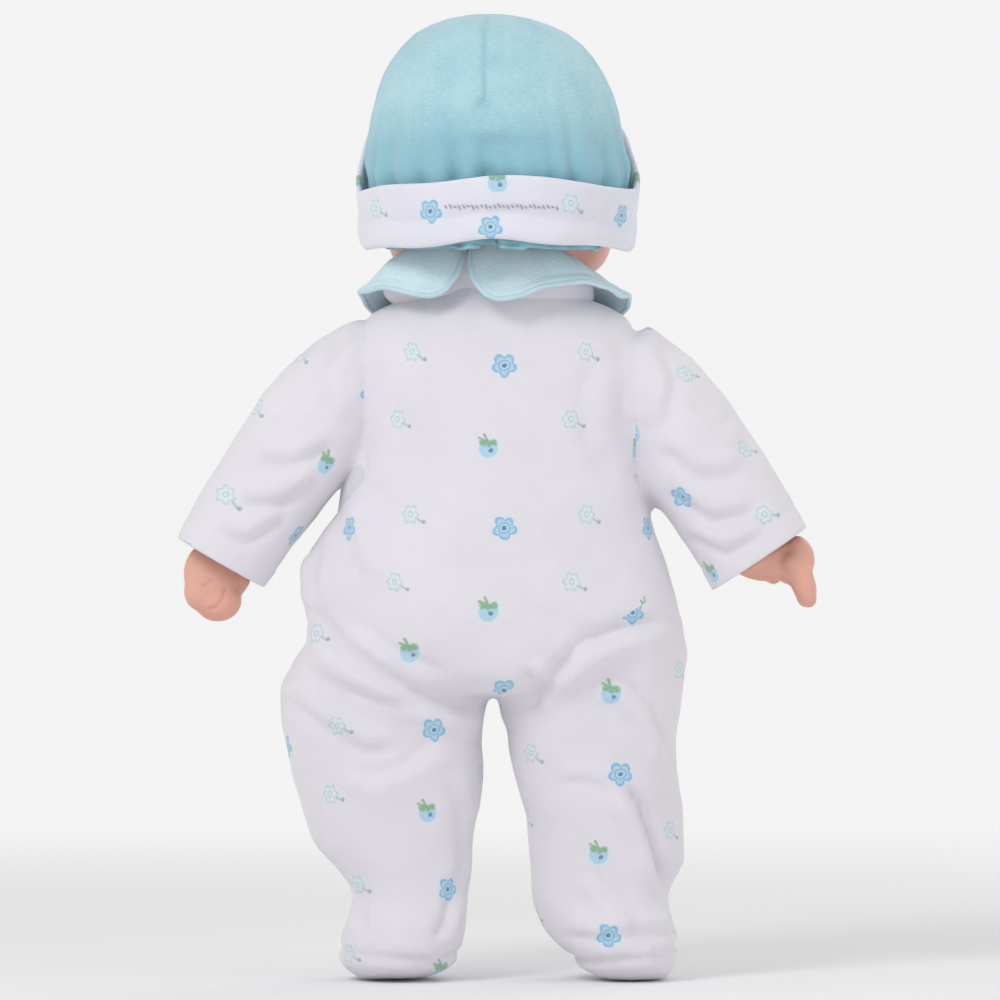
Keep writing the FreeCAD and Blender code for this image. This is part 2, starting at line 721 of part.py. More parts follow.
def lower_leg(side):
    """Vinyl shin and foot, inside the sleeper."""
    top = thigh_low_z - 0.5
    groove = top - limb_flange_thick
    body_at = groove - limb_groove_wide
    outline = [
        (0, top), (shin_r, top), (shin_r, groove), (knee_groove_r, groove),
        (knee_groove_r, body_at), (shin_r - 1.0, body_at), (shin_r, shin_z),
        (ankle_r, ankle_z), (ankle_r, foot_z), (0, foot_z),
    ]
    foot = ellipsoid(foot_point(side), foot_rx - toe_gap, foot_ry - toe_gap, foot_rz - toe_gap)
    foot = foot.cut(block(-FAR, FAR, -FAR, FAR, -FAR, sole_thick + 0.3))
    shin = turned(outline, shin_place(side)).fuse(foot)
    return whole(shin.common(leg_solid(side, jersey + layer_gap)))


# ---------------------------------------------------------------- sound unit
def unit_block(inset, y0, y1):
    """The unit's outline between two depths, drawn in by inset."""
    wide, high = unit_wide / 2 - inset, unit_high / 2 - inset
    shape = block(-wide, wide, y0, y1, unit_mid_z - high, unit_mid_z + high)
    radius = max(unit_corner_r - inset, 0.5)
    corners = [e for e in shape.Edges if abs(e.tangentAt(e.FirstParameter).y) > 0.99]
    return shape.makeFillet(radius, corners)


def screw_places():
    x = unit_wide / 2 - screw_inset
    return [(sx * x, z) for sx in (-1, 1) for z in (unit_low_z + screw_inset, unit_high_z - screw_inset)]


def case_front():
    """The half of the case that faces the tummy, with the speaker's grille."""
    wall = unit_wall
    case = unit_block(0, unit_front_y, split_y).cut(unit_block(wall, unit_front_y + wall, split_y + 1))
    for x, z in screw_places():
        case = case.fuse(rod(V(x, unit_front_y, z), V(x, split_y, z), boss_r))
    for x, z in screw_places():
        case = case.cut(rod(V(x, unit_front_y - 1, z), V(x, split_y + 1, z), screw_r + 0.15))
    holes = [(0.0, 0.0)]
    for ring in (1, 2, 3):
        count = 6 * ring
        for i in range(count):
            angle = 2 * math.pi * i / count
            holes.append((ring * grille_pitch * math.cos(angle), ring * grille_pitch * math.sin(angle)))
    drills = [
        rod(
            V(x, unit_front_y - 1, unit_mid_z + z),
            V(x, unit_front_y + wall + 1, unit_mid_z + z),
            grille_hole_r,
        )
        for x, z in holes
        if math.hypot(x, unit_mid_z + z - pad_z) > grille_hole_r + lead_r + 0.6
    ]
    lead_hole = rod(V(0, unit_front_y - 1, pad_z), V(0, unit_front_y + wall + 1, pad_z), lead_r + 0.1)
    return whole(case.cut(drills + [lead_hole]))


def door_block(gap):
    wide = door_wide / 2 - gap
    low, high = unit_low_z + door_low + gap, unit_low_z + door_low + door_high - gap
    return block(-wide, wide, unit_back_y - unit_wall, unit_back_y, low, high)


def door_screw_point(y):
    return V(0, y, unit_low_z + door_screw_up)


def case_back():
    """The half of the case that faces the doll's back, with the battery bay and the switch slot."""
    wall = unit_wall
    case = unit_block(0, split_y, unit_back_y).cut(unit_block(wall, split_y - 1, unit_back_y - wall))
    for x, z in screw_places():
        case = case.fuse(rod(V(x, split_y, z), V(x, unit_back_y - wall, z), boss_r))
    screw_end = unit_front_y + screw_long
    for x, z in screw_places():
        case = case.cut(rod(V(x, split_y - 1, z), V(x, screw_end + 0.5, z), screw_r))
    case = case.cut(door_block(0.0))
    inside, start = unit_back_y - wall, unit_back_y - door_screw_long - 0.5
    z = unit_low_z + door_screw_up
    post = rod(door_screw_point(start), door_screw_point(inside), boss_r)
    rib = block(-unit_wide / 2 + wall / 2, unit_wide / 2 - wall / 2, start, inside, z - 0.6, z + 0.6)
    case = case.fuse([post, rib])
    case = case.cut(rod(door_screw_point(start - 1), door_screw_point(unit_back_y), door_screw_r))
    half = (knob_wide + knob_travel) / 2 + slot_gap
    knob_mid = knob_travel / 2
    slot = block(knob_mid - half, knob_mid + half, unit_back_y - wall - 1, unit_back_y + 1,
                 switch_z - knob_high / 2 - slot_gap, switch_z + knob_high / 2 + slot_gap)
    return whole(case.cut(slot))


def battery_door():
    hole = rod(door_screw_point(0), door_screw_point(FAR), door_screw_r + 0.2)
    return whole(door_block(door_gap).cut(hole))


def door_screw():
    y = unit_back_y
    shank = rod(door_screw_point(y - door_screw_long), door_screw_point(y), door_screw_r)
    head = rod(door_screw_point(y), door_screw_point(y + 1.2), door_screw_r + 1.0)
    slot = block(-1.2, 1.2, y + 0.7, y + 2, -0.3, 0.3)
    slot = slot.fuse(block(-0.3, 0.3, y + 0.7, y + 2, -1.2, 1.2))
    slot.translate(door_screw_point(0))
    return whole(shank.fuse(head).cut(slot))


def case_screws():
    screws = []
    for x, z in screw_places():
        head = rod(V(x, unit_front_y - screw_head_thick, z), V(x, unit_front_y, z), screw_head_r)
        shank = rod(V(x, unit_front_y, z), V(x, unit_front_y + screw_long, z), screw_r)
        slot = block(x - 1.4, x + 1.4, unit_front_y - screw_head_thick - 1,
                     unit_front_y - screw_head_thick + 0.7, z - 0.3, z + 0.3)
        screws.append(whole(head.fuse(shank).cut(slot)))
    return Part.makeCompound(screws)


def cell_z(row):
    return unit_low_z + cell_low + row * cell_pitch


def batteries():
    """Two cells side by side, each with its raised positive end."""
    cells = []
    for row, sign in enumerate((1, -1)):
        z = cell_z(row)
        can = rod(V(-sign * cell_long / 2, cell_y, z), V(sign * (cell_long / 2 - 0.8), cell_y, z), cell_r)
        nub = rod(V(sign * (cell_long / 2 - 0.8), cell_y, z), V(sign * cell_long / 2, cell_y, z), 1.9)
        cells.append(whole(can.fuse(nub)))
    return Part.makeCompound(cells)


def battery_springs():
    """A bent leaf at each cell's flat end, pressed between the cell and its plate."""
    crest, foot = 0.5, leaf_wide / 2
    tip = contact_gap - leaf_thick
    outline = [
        (0.0, -foot), (contact_gap, -crest), (contact_gap, crest), (0.0, foot),
        (0.0, foot - leaf_thick), (tip, crest / 2), (tip, -crest / 2), (0.0, leaf_thick - foot),
    ]
    leaves = []
    for row, sign in enumerate((1, -1)):
        x = -sign * (cell_long / 2 + contact_gap)
        low = cell_z(row) - leaf_high / 2
        corners = [V(x + sign * reach, cell_y + rise, low) for reach, rise in outline]
        face = Part.Face(Part.makePolygon(corners + corners[:1]))
        leaves.append(face.extrude(V(0, 0, leaf_high)))
    return Part.makeCompound(leaves)


def battery_plates():
    """Flat contacts: one under each leaf and one at each raised end."""
    plates = []
    for sign in (-1, 1):
        x = sign * (cell_long / 2 + contact_gap)
        low, high = cell_z(0) - 4, cell_z(1) + 4
        a, b = sorted((x, x + sign * 0.4))
        plates.append(block(a, b, cell_y - 4, cell_y + 4, low, high))
    return Part.makeCompound(plates)


def speaker_frame():
    y = speaker_y
    rim = rod(V(0, y, unit_mid_z), V(0, y + speaker_rim_thick, unit_mid_z), speaker_r)
    return whole(rim.cut(rod(V(0, y - 1, unit_mid_z), V(0, y + 1.6, unit_mid_z), speaker_r - 2)))


def speaker_cone():
    """A shallow paper cone with its dust cap, inside the rim."""
    place = Placement(V(0, speaker_y, unit_mid_z), Rotation(V(0, 0, 1), V(0, 1, 0)))
    outline = [(0, 0.5), (3.0, 0.7), (3.6, 1.2), (speaker_r - 2.1, 0.3), (speaker_r - 2.1, 0.7),
               (3.6, 1.6), (0, 1.6)]
    return turned(outline, place)


def speaker_magnet():
    y = speaker_y + speaker_rim_thick
    return rod(V(0, y, unit_mid_z), V(0, y + magnet_thick, unit_mid_z), magnet_r)


def circuit_board():
    z0 = unit_mid_z - board_high / 2
    return block(-board_wide / 2, board_wide / 2, board_y, board_y + board_thick, z0, z0 + board_high)


def voice_chip():
    """The potted sound chip on the board's front face."""
    x, z = board_wide / 2 - chip_r - 3, unit_mid_z + board_high / 2 - chip_r - 3
    return rod(V(x, board_y - chip_thick, z), V(x, board_y, z), chip_r)


def switch_body():
    back = unit_back_y - unit_wall
    mid = knob_travel / 2
    return block(mid - switch_wide / 2, mid + switch_wide / 2, back - switch_deep, back,
                 switch_z - switch_high / 2, switch_z + switch_high / 2)


def switch_knob():
    """The thumb slide, at its off end."""
    back = unit_back_y - unit_wall
    knob = block(-knob_wide / 2, knob_wide / 2, back + 0.05, back + unit_wall + knob_out,
                 switch_z - knob_high / 2, switch_z + knob_high / 2)
    for x in (-1.2, 0.0, 1.2):
        top = back + unit_wall + knob_out
        knob = knob.cut(block(x - 0.25, x + 0.25, top - 0.5, top + 1, switch_z - 3, switch_z + 3))
    return whole(knob)


# ---------------------------------------------------------------- press pad
def pad_base():
    """The round tray of the pad, open towards the tummy."""
    tray = rod(V(0, pad_back_y - pad_thick, pad_z), V(0, pad_back_y, pad_z), pad_r)
    well = rod(V(0, pad_back_y - pad_thick - 1, pad_z), V(0, pad_back_y - pad_wall, pad_z), cap_r + 0.4)
    hole = rod(V(0, pad_back_y - pad_wall - 1, pad_z), V(0, pad_back_y + 1, pad_z), lead_r + 0.1)
    return whole(tray.cut(well).cut(hole))


def pad_cap():
    """The domed cap that the tummy is pressed against."""
    place = Placement(V(0, cap_back_y, pad_z), Rotation(V(0, 0, 1), V(0, -1, 0)))
    dome = [(cap_r * math.cos(math.radians(a)), cap_thick + cap_dome * math.sin(math.radians(a)))
            for a in range(0, 90, 10)]
    outline = [(0, cap_hollow), (cap_r - 1.6, cap_hollow), (cap_r - 1.6, 0), (cap_r, 0)] + dome
    return turned(outline + [(0, cap_thick + cap_dome)], place)


def pad_foam():
    """The foam ring that pushes the cap back out."""
    floor_y = pad_back_y - pad_wall
    high = floor_y - cap_back_y + cap_hollow
    start, end = V(0, floor_y, pad_z), V(0, floor_y - high, pad_z)
    return whole(rod(start, end, foam_outer_r).cut(rod(start, end, foam_inner_r)))


def pad_button():
    """The small click switch in the middle of the tray, round the lead's hole."""
    back = pad_back_y - pad_wall
    body = block(-button_wide / 2, button_wide / 2, back - button_thick, back,
                 pad_z - button_wide / 2, pad_z + button_wide / 2)
    return whole(body.cut(rod(V(0, back - 1, pad_z), V(0, back + 1, pad_z), lead_r + 0.1)))


def pad_lead():
    """The two-core lead, held in the stuffing from the pad to the sound unit."""
    return rod(V(0, pad_back_y - pad_wall - 0.8, pad_z), V(0, unit_front_y + unit_wall, pad_z), lead_r)


# ---------------------------------------------------------------- export
def parts():
    made = {
        "sleeper_body": sleeper_body,
        "front_placket": front_placket,
        "placket_snaps": placket_snaps,
        "hat_crown": hat_crown,
        "hat_cuff": hat_cuff,
        "head_shell": head_shell,
        "eye_rocker": eye_rocker,
        "eye_weight": eye_weight,
        "body_skin": body_skin,
        "body_flap": body_flap,
        "body_stuffing": body_stuffing,
        "neck_tie": neck_tie,
        "case_front": case_front,
        "case_back": case_back,
        "case_screws": case_screws,
        "battery_door": battery_door,
        "door_screw": door_screw,
        "batteries": batteries,
        "battery_springs": battery_springs,
        "battery_plates": battery_plates,
        "speaker_frame": speaker_frame,
        "speaker_cone": speaker_cone,
        "speaker_magnet": speaker_magnet,
        "circuit_board": circuit_board,
        "voice_chip": voice_chip,
        "switch_body": switch_body,
        "switch_knob": switch_knob,
        "pad_base": pad_base,
        "pad_cap": pad_cap,
        "pad_foam": pad_foam,
        "pad_button": pad_button,
        "pad_lead": pad_lead,
    }
    paired = {
        "sleeve": sleeve,
        "sleeper_leg": sleeper_leg,
        "sleeper_sole": sleeper_sole,
        "collar": collar,
        "eyeball": eyeball,
        "upper_arm": upper_arm,
        "arm_tie": arm_tie,
        "forearm": forearm,
        "thigh": thigh,
        "leg_tie": leg_tie,
        "lower_leg": lower_leg,
    }
    for name, make in made.items():
        yield name, make()
    for name, make in paired.items():
        for side in SIDES:
            yield f"{name}_{side}", make(side)


def main():
    os.makedirs("parts", exist_ok=True)
    for name, shape in parts():
        for solid in shape.Solids:
            if not solid.isValid() or solid.Volume <= 0:
                print("invalid solid in", name)
        print(f"{name}: {len(shape.Solids)} solids, {shape.Volume / 1000:.2f} cm3")
        shape.exportStep(f"parts/{name}.step")


main()
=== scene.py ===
"""Looks of the soft-bodied baby doll: clothes, vinyl head and hands, and its sound unit.

Every length inside the shape builders is in millimetres in the row frame (+Z up, the doll
faces -Y, its left side is +X), and is turned into metres when a mesh is made.
"""
import json
import math
from contextlib import contextmanager

import bmesh
import bpy
import numpy as np
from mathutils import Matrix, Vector
from mathutils.bvhtree import BVHTree


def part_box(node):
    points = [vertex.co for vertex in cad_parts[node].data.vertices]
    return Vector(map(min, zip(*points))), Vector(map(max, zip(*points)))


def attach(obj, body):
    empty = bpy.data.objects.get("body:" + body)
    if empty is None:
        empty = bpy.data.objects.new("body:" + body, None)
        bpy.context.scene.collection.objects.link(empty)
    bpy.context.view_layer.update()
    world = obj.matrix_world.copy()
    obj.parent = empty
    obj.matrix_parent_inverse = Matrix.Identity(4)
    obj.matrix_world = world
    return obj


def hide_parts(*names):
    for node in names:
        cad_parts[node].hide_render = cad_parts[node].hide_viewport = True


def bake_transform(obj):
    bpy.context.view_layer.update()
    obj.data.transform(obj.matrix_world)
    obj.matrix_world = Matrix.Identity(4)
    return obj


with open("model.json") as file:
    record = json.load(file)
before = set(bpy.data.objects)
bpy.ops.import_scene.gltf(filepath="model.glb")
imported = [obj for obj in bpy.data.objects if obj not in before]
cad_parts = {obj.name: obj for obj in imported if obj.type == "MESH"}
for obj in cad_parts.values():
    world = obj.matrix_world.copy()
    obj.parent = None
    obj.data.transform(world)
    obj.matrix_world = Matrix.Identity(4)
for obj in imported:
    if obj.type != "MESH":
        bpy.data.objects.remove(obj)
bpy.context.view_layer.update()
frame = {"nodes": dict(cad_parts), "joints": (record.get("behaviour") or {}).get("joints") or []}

MM = 0.001
SAME_PLACE = 1e-6                           # points nearer than this are one point, m
nodes = frame["nodes"]


def node_box(name):
    low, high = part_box(name)
    return np.array(low) / MM, np.array(high) / MM


# ------------------------------------------------------------------ mesh helpers
def smoothstep(edge0, edge1, x):
    t = np.clip((x - edge0) / (edge1 - edge0), 0.0, 1.0)
    return t * t * (3 - 2 * t)


def make_object(name, verts, faces, uvs=None):
    """An object from points in mm; uvs is one (u, v) in metres for each point."""
    mesh = bpy.data.meshes.new(name)
    mesh.from_pydata([tuple(p) for p in np.asarray(verts) * MM], [], [tuple(f) for f in faces])
    mesh.update()
    obj = bpy.data.objects.new(name, mesh)
    bpy.context.scene.collection.objects.link(obj)
    for poly in mesh.polygons:
        poly.use_smooth = True
    if uvs is not None:
        set_uv(obj, np.asarray(uvs))
    return obj


def set_uv(obj, uvs):
    """One (u, v) in metres for each vertex."""
    mesh = obj.data
    layer = mesh.uv_layers.get("cloth") or mesh.uv_layers.new(name="cloth")
    index = np.empty(len(mesh.loops), dtype=np.int32)
    mesh.loops.foreach_get("vertex_index", index)
    layer.data.foreach_set("uv", uvs[index].astype(np.float32).ravel())


def get_points(obj):
    co = np.empty(len(obj.data.vertices) * 3)
    obj.data.vertices.foreach_get("co", co)
    return co.reshape(-1, 3) / MM


def set_points(obj, points):
    obj.data.vertices.foreach_set("co", (points * MM).ravel())
    obj.data.update()


def get_normals(obj):
    normal = np.empty(len(obj.data.vertices) * 3)
    obj.data.vertex_normals.foreach_get("vector", normal)
    return normal.reshape(-1, 3)


def ring_tube(rings, count=48):
    """A closed tube through rings of points; the ends are closed with fans."""
    verts = [p for ring in rings for p in ring]
    faces = []
    for i in range(len(rings) - 1):
        for j in range(count):
            a, b = i * count + j, i * count + (j + 1) % count
            faces.append((a, b, b + count, a + count))
    for base, flip in ((0, True), ((len(rings) - 1) * count, False)):
        centre = len(verts)
        verts.append(np.mean(verts[base:base + count], axis=0))
        for j in range(count):
            a, b = base + j, base + (j + 1) % count
            faces.append((b, a, centre) if flip else (a, b, centre))
    return verts, faces


def level_ring(z, cx, cy, rx, ry, power=2.0, count=48):
    """A level superellipse ring."""
    ring = []
    for j in range(count):
        a = 2 * math.pi * j / count
        c, s = math.cos(a), math.sin(a)
        x = math.copysign(abs(c) ** (2 / power), c)
        y = math.copysign(abs(s) ** (2 / power), s)
        ring.append(np.array([cx + rx * x, cy + ry * y, z]))
    return ring


def tilted_ring(centre, along, rx, ry, count=48):
    """A ring across a limb whose axis lies in the XZ plane; rx is in that plane."""
    along = np.array(along) / np.linalg.norm(along)
    across = np.array([-along[2], 0.0, along[0]])
    deep = np.array([0.0, 1.0, 0.0])
    return [np.array(centre) + across * rx * math.cos(a) + deep * ry * math.sin(a)
            for a in (2 * math.pi * j / count for j in range(count))]


def ball(centre, radii, count=24, rows=14):
    """A closed ellipsoid as (verts, faces)."""
    verts, faces = [np.array([centre[0], centre[1], centre[2] - radii[2]])], []
    for i in range(1, rows):
        t = math.pi * i / rows
        for j in range(count):
            a = 2 * math.pi * j / count
            verts.append(np.array([centre[0] + radii[0] * math.sin(t) * math.cos(a),
                                   centre[1] + radii[1] * math.sin(t) * math.sin(a),
                                   centre[2] - radii[2] * math.cos(t)]))
    verts.append(np.array([centre[0], centre[1], centre[2] + radii[2]]))
    top = len(verts) - 1
    for j in range(count):
        k = (j + 1) % count
        faces.append((0, 1 + k, 1 + j))
        for i in range(rows - 2):
            a, b = 1 + i * count + j, 1 + i * count + k
            faces.append((a, b, b + count, a + count))
        last = 1 + (rows - 2) * count
        faces.append((last + j, last + k, top))
    return verts, faces


def turn(verts, centre, angles):
    """Points turned about a centre by angles about X, Y and Z, in degrees."""
    ax, ay, az = (math.radians(a) for a in angles)
    rx = np.array([[1, 0, 0], [0, math.cos(ax), -math.sin(ax)], [0, math.sin(ax), math.cos(ax)]])
    ry = np.array([[math.cos(ay), 0, math.sin(ay)], [0, 1, 0], [-math.sin(ay), 0, math.cos(ay)]])
    rz = np.array([[math.cos(az), -math.sin(az), 0], [math.sin(az), math.cos(az), 0], [0, 0, 1]])
    m = rz @ ry @ rx
    return [m @ (np.array(v) - centre) + centre for v in verts]


def slab_faces(rows, cols):
    """Faces of a slab: a grid of points for its top, the same grid for its underside, and its edge."""
    half, faces = rows * cols, []
    for i in range(rows - 1):
        for k in range(cols - 1):
            a = i * cols + k
            faces.append((a, a + 1, a + cols + 1, a + cols))
            faces.append((a + half, a + cols + half, a + cols + 1 + half, a + 1 + half))
    loop = list(range(cols)) + [i * cols + cols - 1 for i in range(1, rows)]
    loop += [(rows - 1) * cols + k for k in range(cols - 2, -1, -1)] + [i * cols for i in range(rows - 2, 0, -1)]
    for a, b in zip(loop, loop[1:] + loop[:1]):
        faces.append((b, a, a + half, b + half))
    return faces


def finger(points, radii, count=14):
    """A closed bent tube with rounded ends through points."""
    pts = [np.array(p, dtype=float) for p in points]
    first, last = pts[0] - pts[1], pts[-1] - pts[-2]
    first, last = first / np.linalg.norm(first), last / np.linalg.norm(last)
    line, sizes = [], []
    for k, share in ((0.95, 0.3), (0.7, 0.72), (0.35, 0.94)):
        line.append(pts[0] + first * radii[0] * k)
        sizes.append(radii[0] * share)
    line += pts
    sizes += list(radii)
    for k, share in ((0.35, 0.94), (0.7, 0.72), (0.95, 0.3)):
        line.append(pts[-1] + last * radii[-1] * k)
        sizes.append(radii[-1] * share)
    rings = []
    side = np.array([0.3, 0.5, 0.8])
    for i, p in enumerate(line):
        along = line[min(i + 1, len(line) - 1)] - line[max(i - 1, 0)]
        along = along / np.linalg.norm(along)
        u = np.cross(along, side)
        u = u / np.linalg.norm(u)
        v = np.cross(along, u)
        rings.append([p + sizes[i] * (u * math.cos(a) + v * math.sin(a))
                      for a in (2 * math.pi * j / count for j in range(count))])
    return ring_tube(rings, count)


def join_shapes(name, shapes):
    verts, faces = [], []
    for v, f in shapes:
        base = len(verts)
        verts += list(v)
        faces += [tuple(i + base for i in face) for face in f]
    return make_object(name, verts, faces)


def fuse_skin(obj, voxel_mm):
    """One closed skin round everything in the object."""
    mod = obj.modifiers.new("skin", "REMESH")
    mod.mode = "VOXEL"
    mod.voxel_size = voxel_mm * MM
    mod.adaptivity = 0.0
    graph = bpy.context.evaluated_depsgraph_get()
    mesh = bpy.data.meshes.new_from_object(obj.evaluated_get(graph))
    obj.modifiers.clear()
    old = obj.data
    obj.data = mesh
    bpy.data.meshes.remove(old)
    for poly in mesh.polygons:
        poly.use_smooth = True


def relax(obj, times, strength=0.5, weight=None):
    """Evens the surface out; weight says how much each point takes part."""
    mesh = obj.data
    edges = np.empty(len(mesh.edges) * 2, dtype=np.int64)
    mesh.edges.foreach_get("vertices", edges)
    a, b = edges.reshape(-1, 2).T
    p = get_points(obj)
    count = np.bincount(a, minlength=len(p)) + np.bincount(b, minlength=len(p))
    k = strength if weight is None else (strength * weight)[:, None]
    for _ in range(times):
        mean = np.stack([
            np.bincount(a, weights=p[b, i], minlength=len(p))
            + np.bincount(b, weights=p[a, i], minlength=len(p)) for i in range(3)
        ], axis=1) / count[:, None]
        p = p + (mean - p) * k
    set_points(obj, p)


def polyline_distance(points, line):
    """Signed distance in a plane to a line of points, and how far along it, from 0 to 1."""
    line = np.array(line, dtype=float)
    best = np.full(len(points), 1e9)
    signed = np.zeros(len(points))
    share = np.zeros(len(points))
    lengths = np.linalg.norm(line[1:] - line[:-1], axis=1)
    total = lengths.sum()
    done = 0.0
    for start, end, length in zip(line[:-1], line[1:], lengths):
        d = (end - start) / length
        rel = points - start
        t = np.clip(rel @ d, 0, length)
        off = rel - t[:, None] * d
        dist = np.linalg.norm(off, axis=1)
        side = np.sign(rel[:, 0] * d[1] - rel[:, 1] * d[0])
        near = dist < best
        best = np.where(near, dist, best)
        signed = np.where(near, dist * np.where(side == 0, 1, side), signed)
        share = np.where(near, (done + t) / total, share)
        done += length
    return signed, share


def crease(p, n, line, depth, width, facing, ridge=0.0, ridge_at=None, fade=0.18):
    """Push along the normal for a fold: a groove on a line, with a ridge on its right."""
    signed, share = polyline_distance(p[:, [0, 2]], line)
    taper = smoothstep(0, fade, share) * smoothstep(0, fade, 1 - share)
    groove = -2.1 * depth * np.exp(-(signed / width) ** 2)
    at = ridge_at if ridge_at is not None else width * 2.2
    bulge = 1.8 * ridge * np.exp(-((signed - at) / (abs(at) * 0.8)) ** 2)
    return (groove + bulge) * taper * smoothstep(0.0, 0.45, n[:, 1] * facing)


def lumps(p, size, seed):
    """A smooth, seeded, uneven field of about -1 to 1 with a given lump size in mm."""
    rng = np.random.default_rng(seed)
    out = np.zeros(len(p))
    for _ in range(14):
        d = rng.normal(size=3)
        d /= np.linalg.norm(d)
        wave = size * rng.uniform(0.7, 1.6)
        out += np.sin(p @ d * (2 * math.pi / wave) + rng.uniform(0, 2 * math.pi))
    return out / 14 ** 0.5 * 0.9


@contextmanager
def editing(obj):
    """The object's mesh, open for edits and written back at the end."""
    bm = bmesh.new()
    bm.from_mesh(obj.data)
    yield bm
    bm.to_mesh(obj.data)
    bm.free()


def face_outwards(obj, weld=True):
    """Turns every face outwards, after welding points that lie together."""
    with editing(obj) as bm:
        if weld:
            bmesh.ops.remove_doubles(bm, verts=bm.verts[:], dist=SAME_PLACE)
        bmesh.ops.recalc_face_normals(bm, faces=bm.faces[:])


def cut_by_plane(obj, point, normal):
    """Adds a clean row of points where a plane crosses the mesh."""
    with editing(obj) as bm:
        geom = bm.verts[:] + bm.edges[:] + bm.faces[:]
        bmesh.ops.bisect_plane(bm, geom=geom, plane_co=Vector(point) * MM, plane_no=Vector(normal), dist=1e-7)


def smooth_once(obj):
    smooth = obj.modifiers.new("smooth", "SUBSURF")
    smooth.levels = smooth.render_levels = 1


def extrude_rim(bm, edges):
    """Extrudes a row of edges and gives the new points and the new edges."""
    made = bmesh.ops.extrude_edge_only(bm, edges=edges)["geom"]
    verts = [g for g in made if isinstance(g, bmesh.types.BMVert)]
    return verts, [g for g in made if isinstance(g, bmesh.types.BMEdge)]


def take_faces(obj, name, keep):
    """A new object from the faces whose centre is kept, and the whole's normals at its points, to shade it as the whole
    was.
    """
    mesh = obj.data
    centres = np.empty(len(mesh.polygons) * 3)
    mesh.polygons.foreach_get("center", centres)
    chosen = keep(centres.reshape(-1, 3) / MM)
    p, n = get_points(obj), get_normals(obj)
    used, faces = {}, []
    for poly in mesh.polygons:
        if chosen[poly.index]:
            faces.append([used.setdefault(v, len(used)) for v in poly.vertices])
    order = sorted(used, key=used.get)
    piece = make_object(name, p[order], faces)
    return piece, n[order]


def keep_shading(obj, normals):
    obj.data.normals_split_custom_set_from_vertices([tuple(n) for n in normals])


# ------------------------------------------------------------------ material helpers
def srgb(r, g, b):
    def lin(c):
        c /= 255.0
        return c / 12.92 if c <= 0.04045 else ((c + 0.055) / 1.055) ** 2.4
    return (lin(r), lin(g), lin(b), 1.0)


class Nodes:
    """Short calls for building a node material."""

    def __init__(self, name):
        self.mat = bpy.data.materials.new(name)
        self.mat.use_nodes = True
        self.tree = self.mat.node_tree
        self.shader = self.tree.nodes["Principled BSDF"]

    def node(self, kind, **props):
        made = self.tree.nodes.new(kind)
        for key, value in props.items():
            setattr(made, key, value)
        return made

    def plug(self, socket, value):
        if isinstance(value, bpy.types.NodeSocket):
            self.tree.links.new(value, socket)
        else:
            socket.default_value = value

    def math(self, op, a, b=0.0, c=0.0, clamp=False):
        made = self.node("ShaderNodeMath", operation=op, use_clamp=clamp)
        for socket, value in zip(made.inputs, (a, b, c)):
            self.plug(socket, value)
        return made.outputs[0]

    def mul(self, a, b, clamp=False):
        return self.math("MULTIPLY", a, b, clamp=clamp)

    def add(self, a, b, clamp=False):
        return self.math("ADD", a, b, clamp=clamp)

    def sub(self, a, b):
        return self.math("SUBTRACT", a, b)

    def vec(self, op, a, b=(0, 0, 0)):
        made = self.node("ShaderNodeVectorMath", operation=op)
        self.plug(made.inputs[0], a)
        if isinstance(b, float):
            made.inputs["Scale"].default_value = b
        else:
            self.plug(made.inputs[1], b)
        return made.outputs["Value"] if op in ("LENGTH", "DOT_PRODUCT") else made.outputs[0]

    def split(self, vector):
        made = self.node("ShaderNodeSeparateXYZ")
        self.plug(made.inputs[0], vector)
        return made.outputs[0], made.outputs[1], made.outputs[2]

    def mix(self, share, a, b):
        made = self.node("ShaderNodeMix", data_type="RGBA")
        self.plug(made.inputs[0], share)
        self.plug(made.inputs[6], a)
        self.plug(made.inputs[7], b)
        return made.outputs[2]

    def noise(self, vector, scale, detail=2.0, rough=0.5):
        made = self.node("ShaderNodeTexNoise")
        self.plug(made.inputs["Vector"], vector)
        made.inputs["Scale"].default_value = scale
        made.inputs["Detail"].default_value = detail
        made.inputs["Roughness"].default_value = rough
        return made.outputs["Fac"]

    def step(self, value, low, high):
        made = self.node("ShaderNodeMapRange", interpolation_type="SMOOTHSTEP")
        self.plug(made.inputs[0], value)
        made.inputs[1].default_value = low
        made.inputs[2].default_value = high
        return made.outputs[0]

    def place(self):
        """Where the surface is in its own object, in metres."""
        return self.node("ShaderNodeTexCoord").outputs["Object"]

    def cloth_uv(self):
        return self.node("ShaderNodeUVMap", uv_map="cloth").outputs[0]

    def bump(self, height, strength, distance):
        made = self.node("ShaderNodeBump")
        made.inputs["Strength"].default_value = strength
        made.inputs["Distance"].default_value = distance
        self.plug(made.inputs["Height"], height)
        self.plug(self.shader.inputs["Normal"], made.outputs[0])


def knit_height(m, uv, stitch):
    """Height of small interlocked loops: rows of slanted stitches."""
    u, v, _ = m.split(uv)
    col = m.math("SINE", m.mul(u, 2 * math.pi / stitch))
    slant = m.mul(m.math("ABSOLUTE", col), 0.5)
    row = m.add(m.math("DIVIDE", v, stitch * 0.8), slant)
    loops = m.math("SINE", m.mul(row, 2 * math.pi))
    return m.add(m.mul(m.math("ABSOLUTE", col), 0.6),
                  m.mul(loops, 0.35))


def cloth_shader(m, color, rough=0.92, sheen=0.35):
    m.plug(m.shader.inputs["Base Color"], color)
    m.shader.inputs["Roughness"].default_value = rough
    m.shader.inputs["Specular IOR Level"].default_value = 0.15
    m.shader.inputs["Sheen Weight"].default_value = sheen
    m.shader.inputs["Sheen Roughness"].default_value = 0.6


TILE_U, TILE_V = 0.065, 0.059


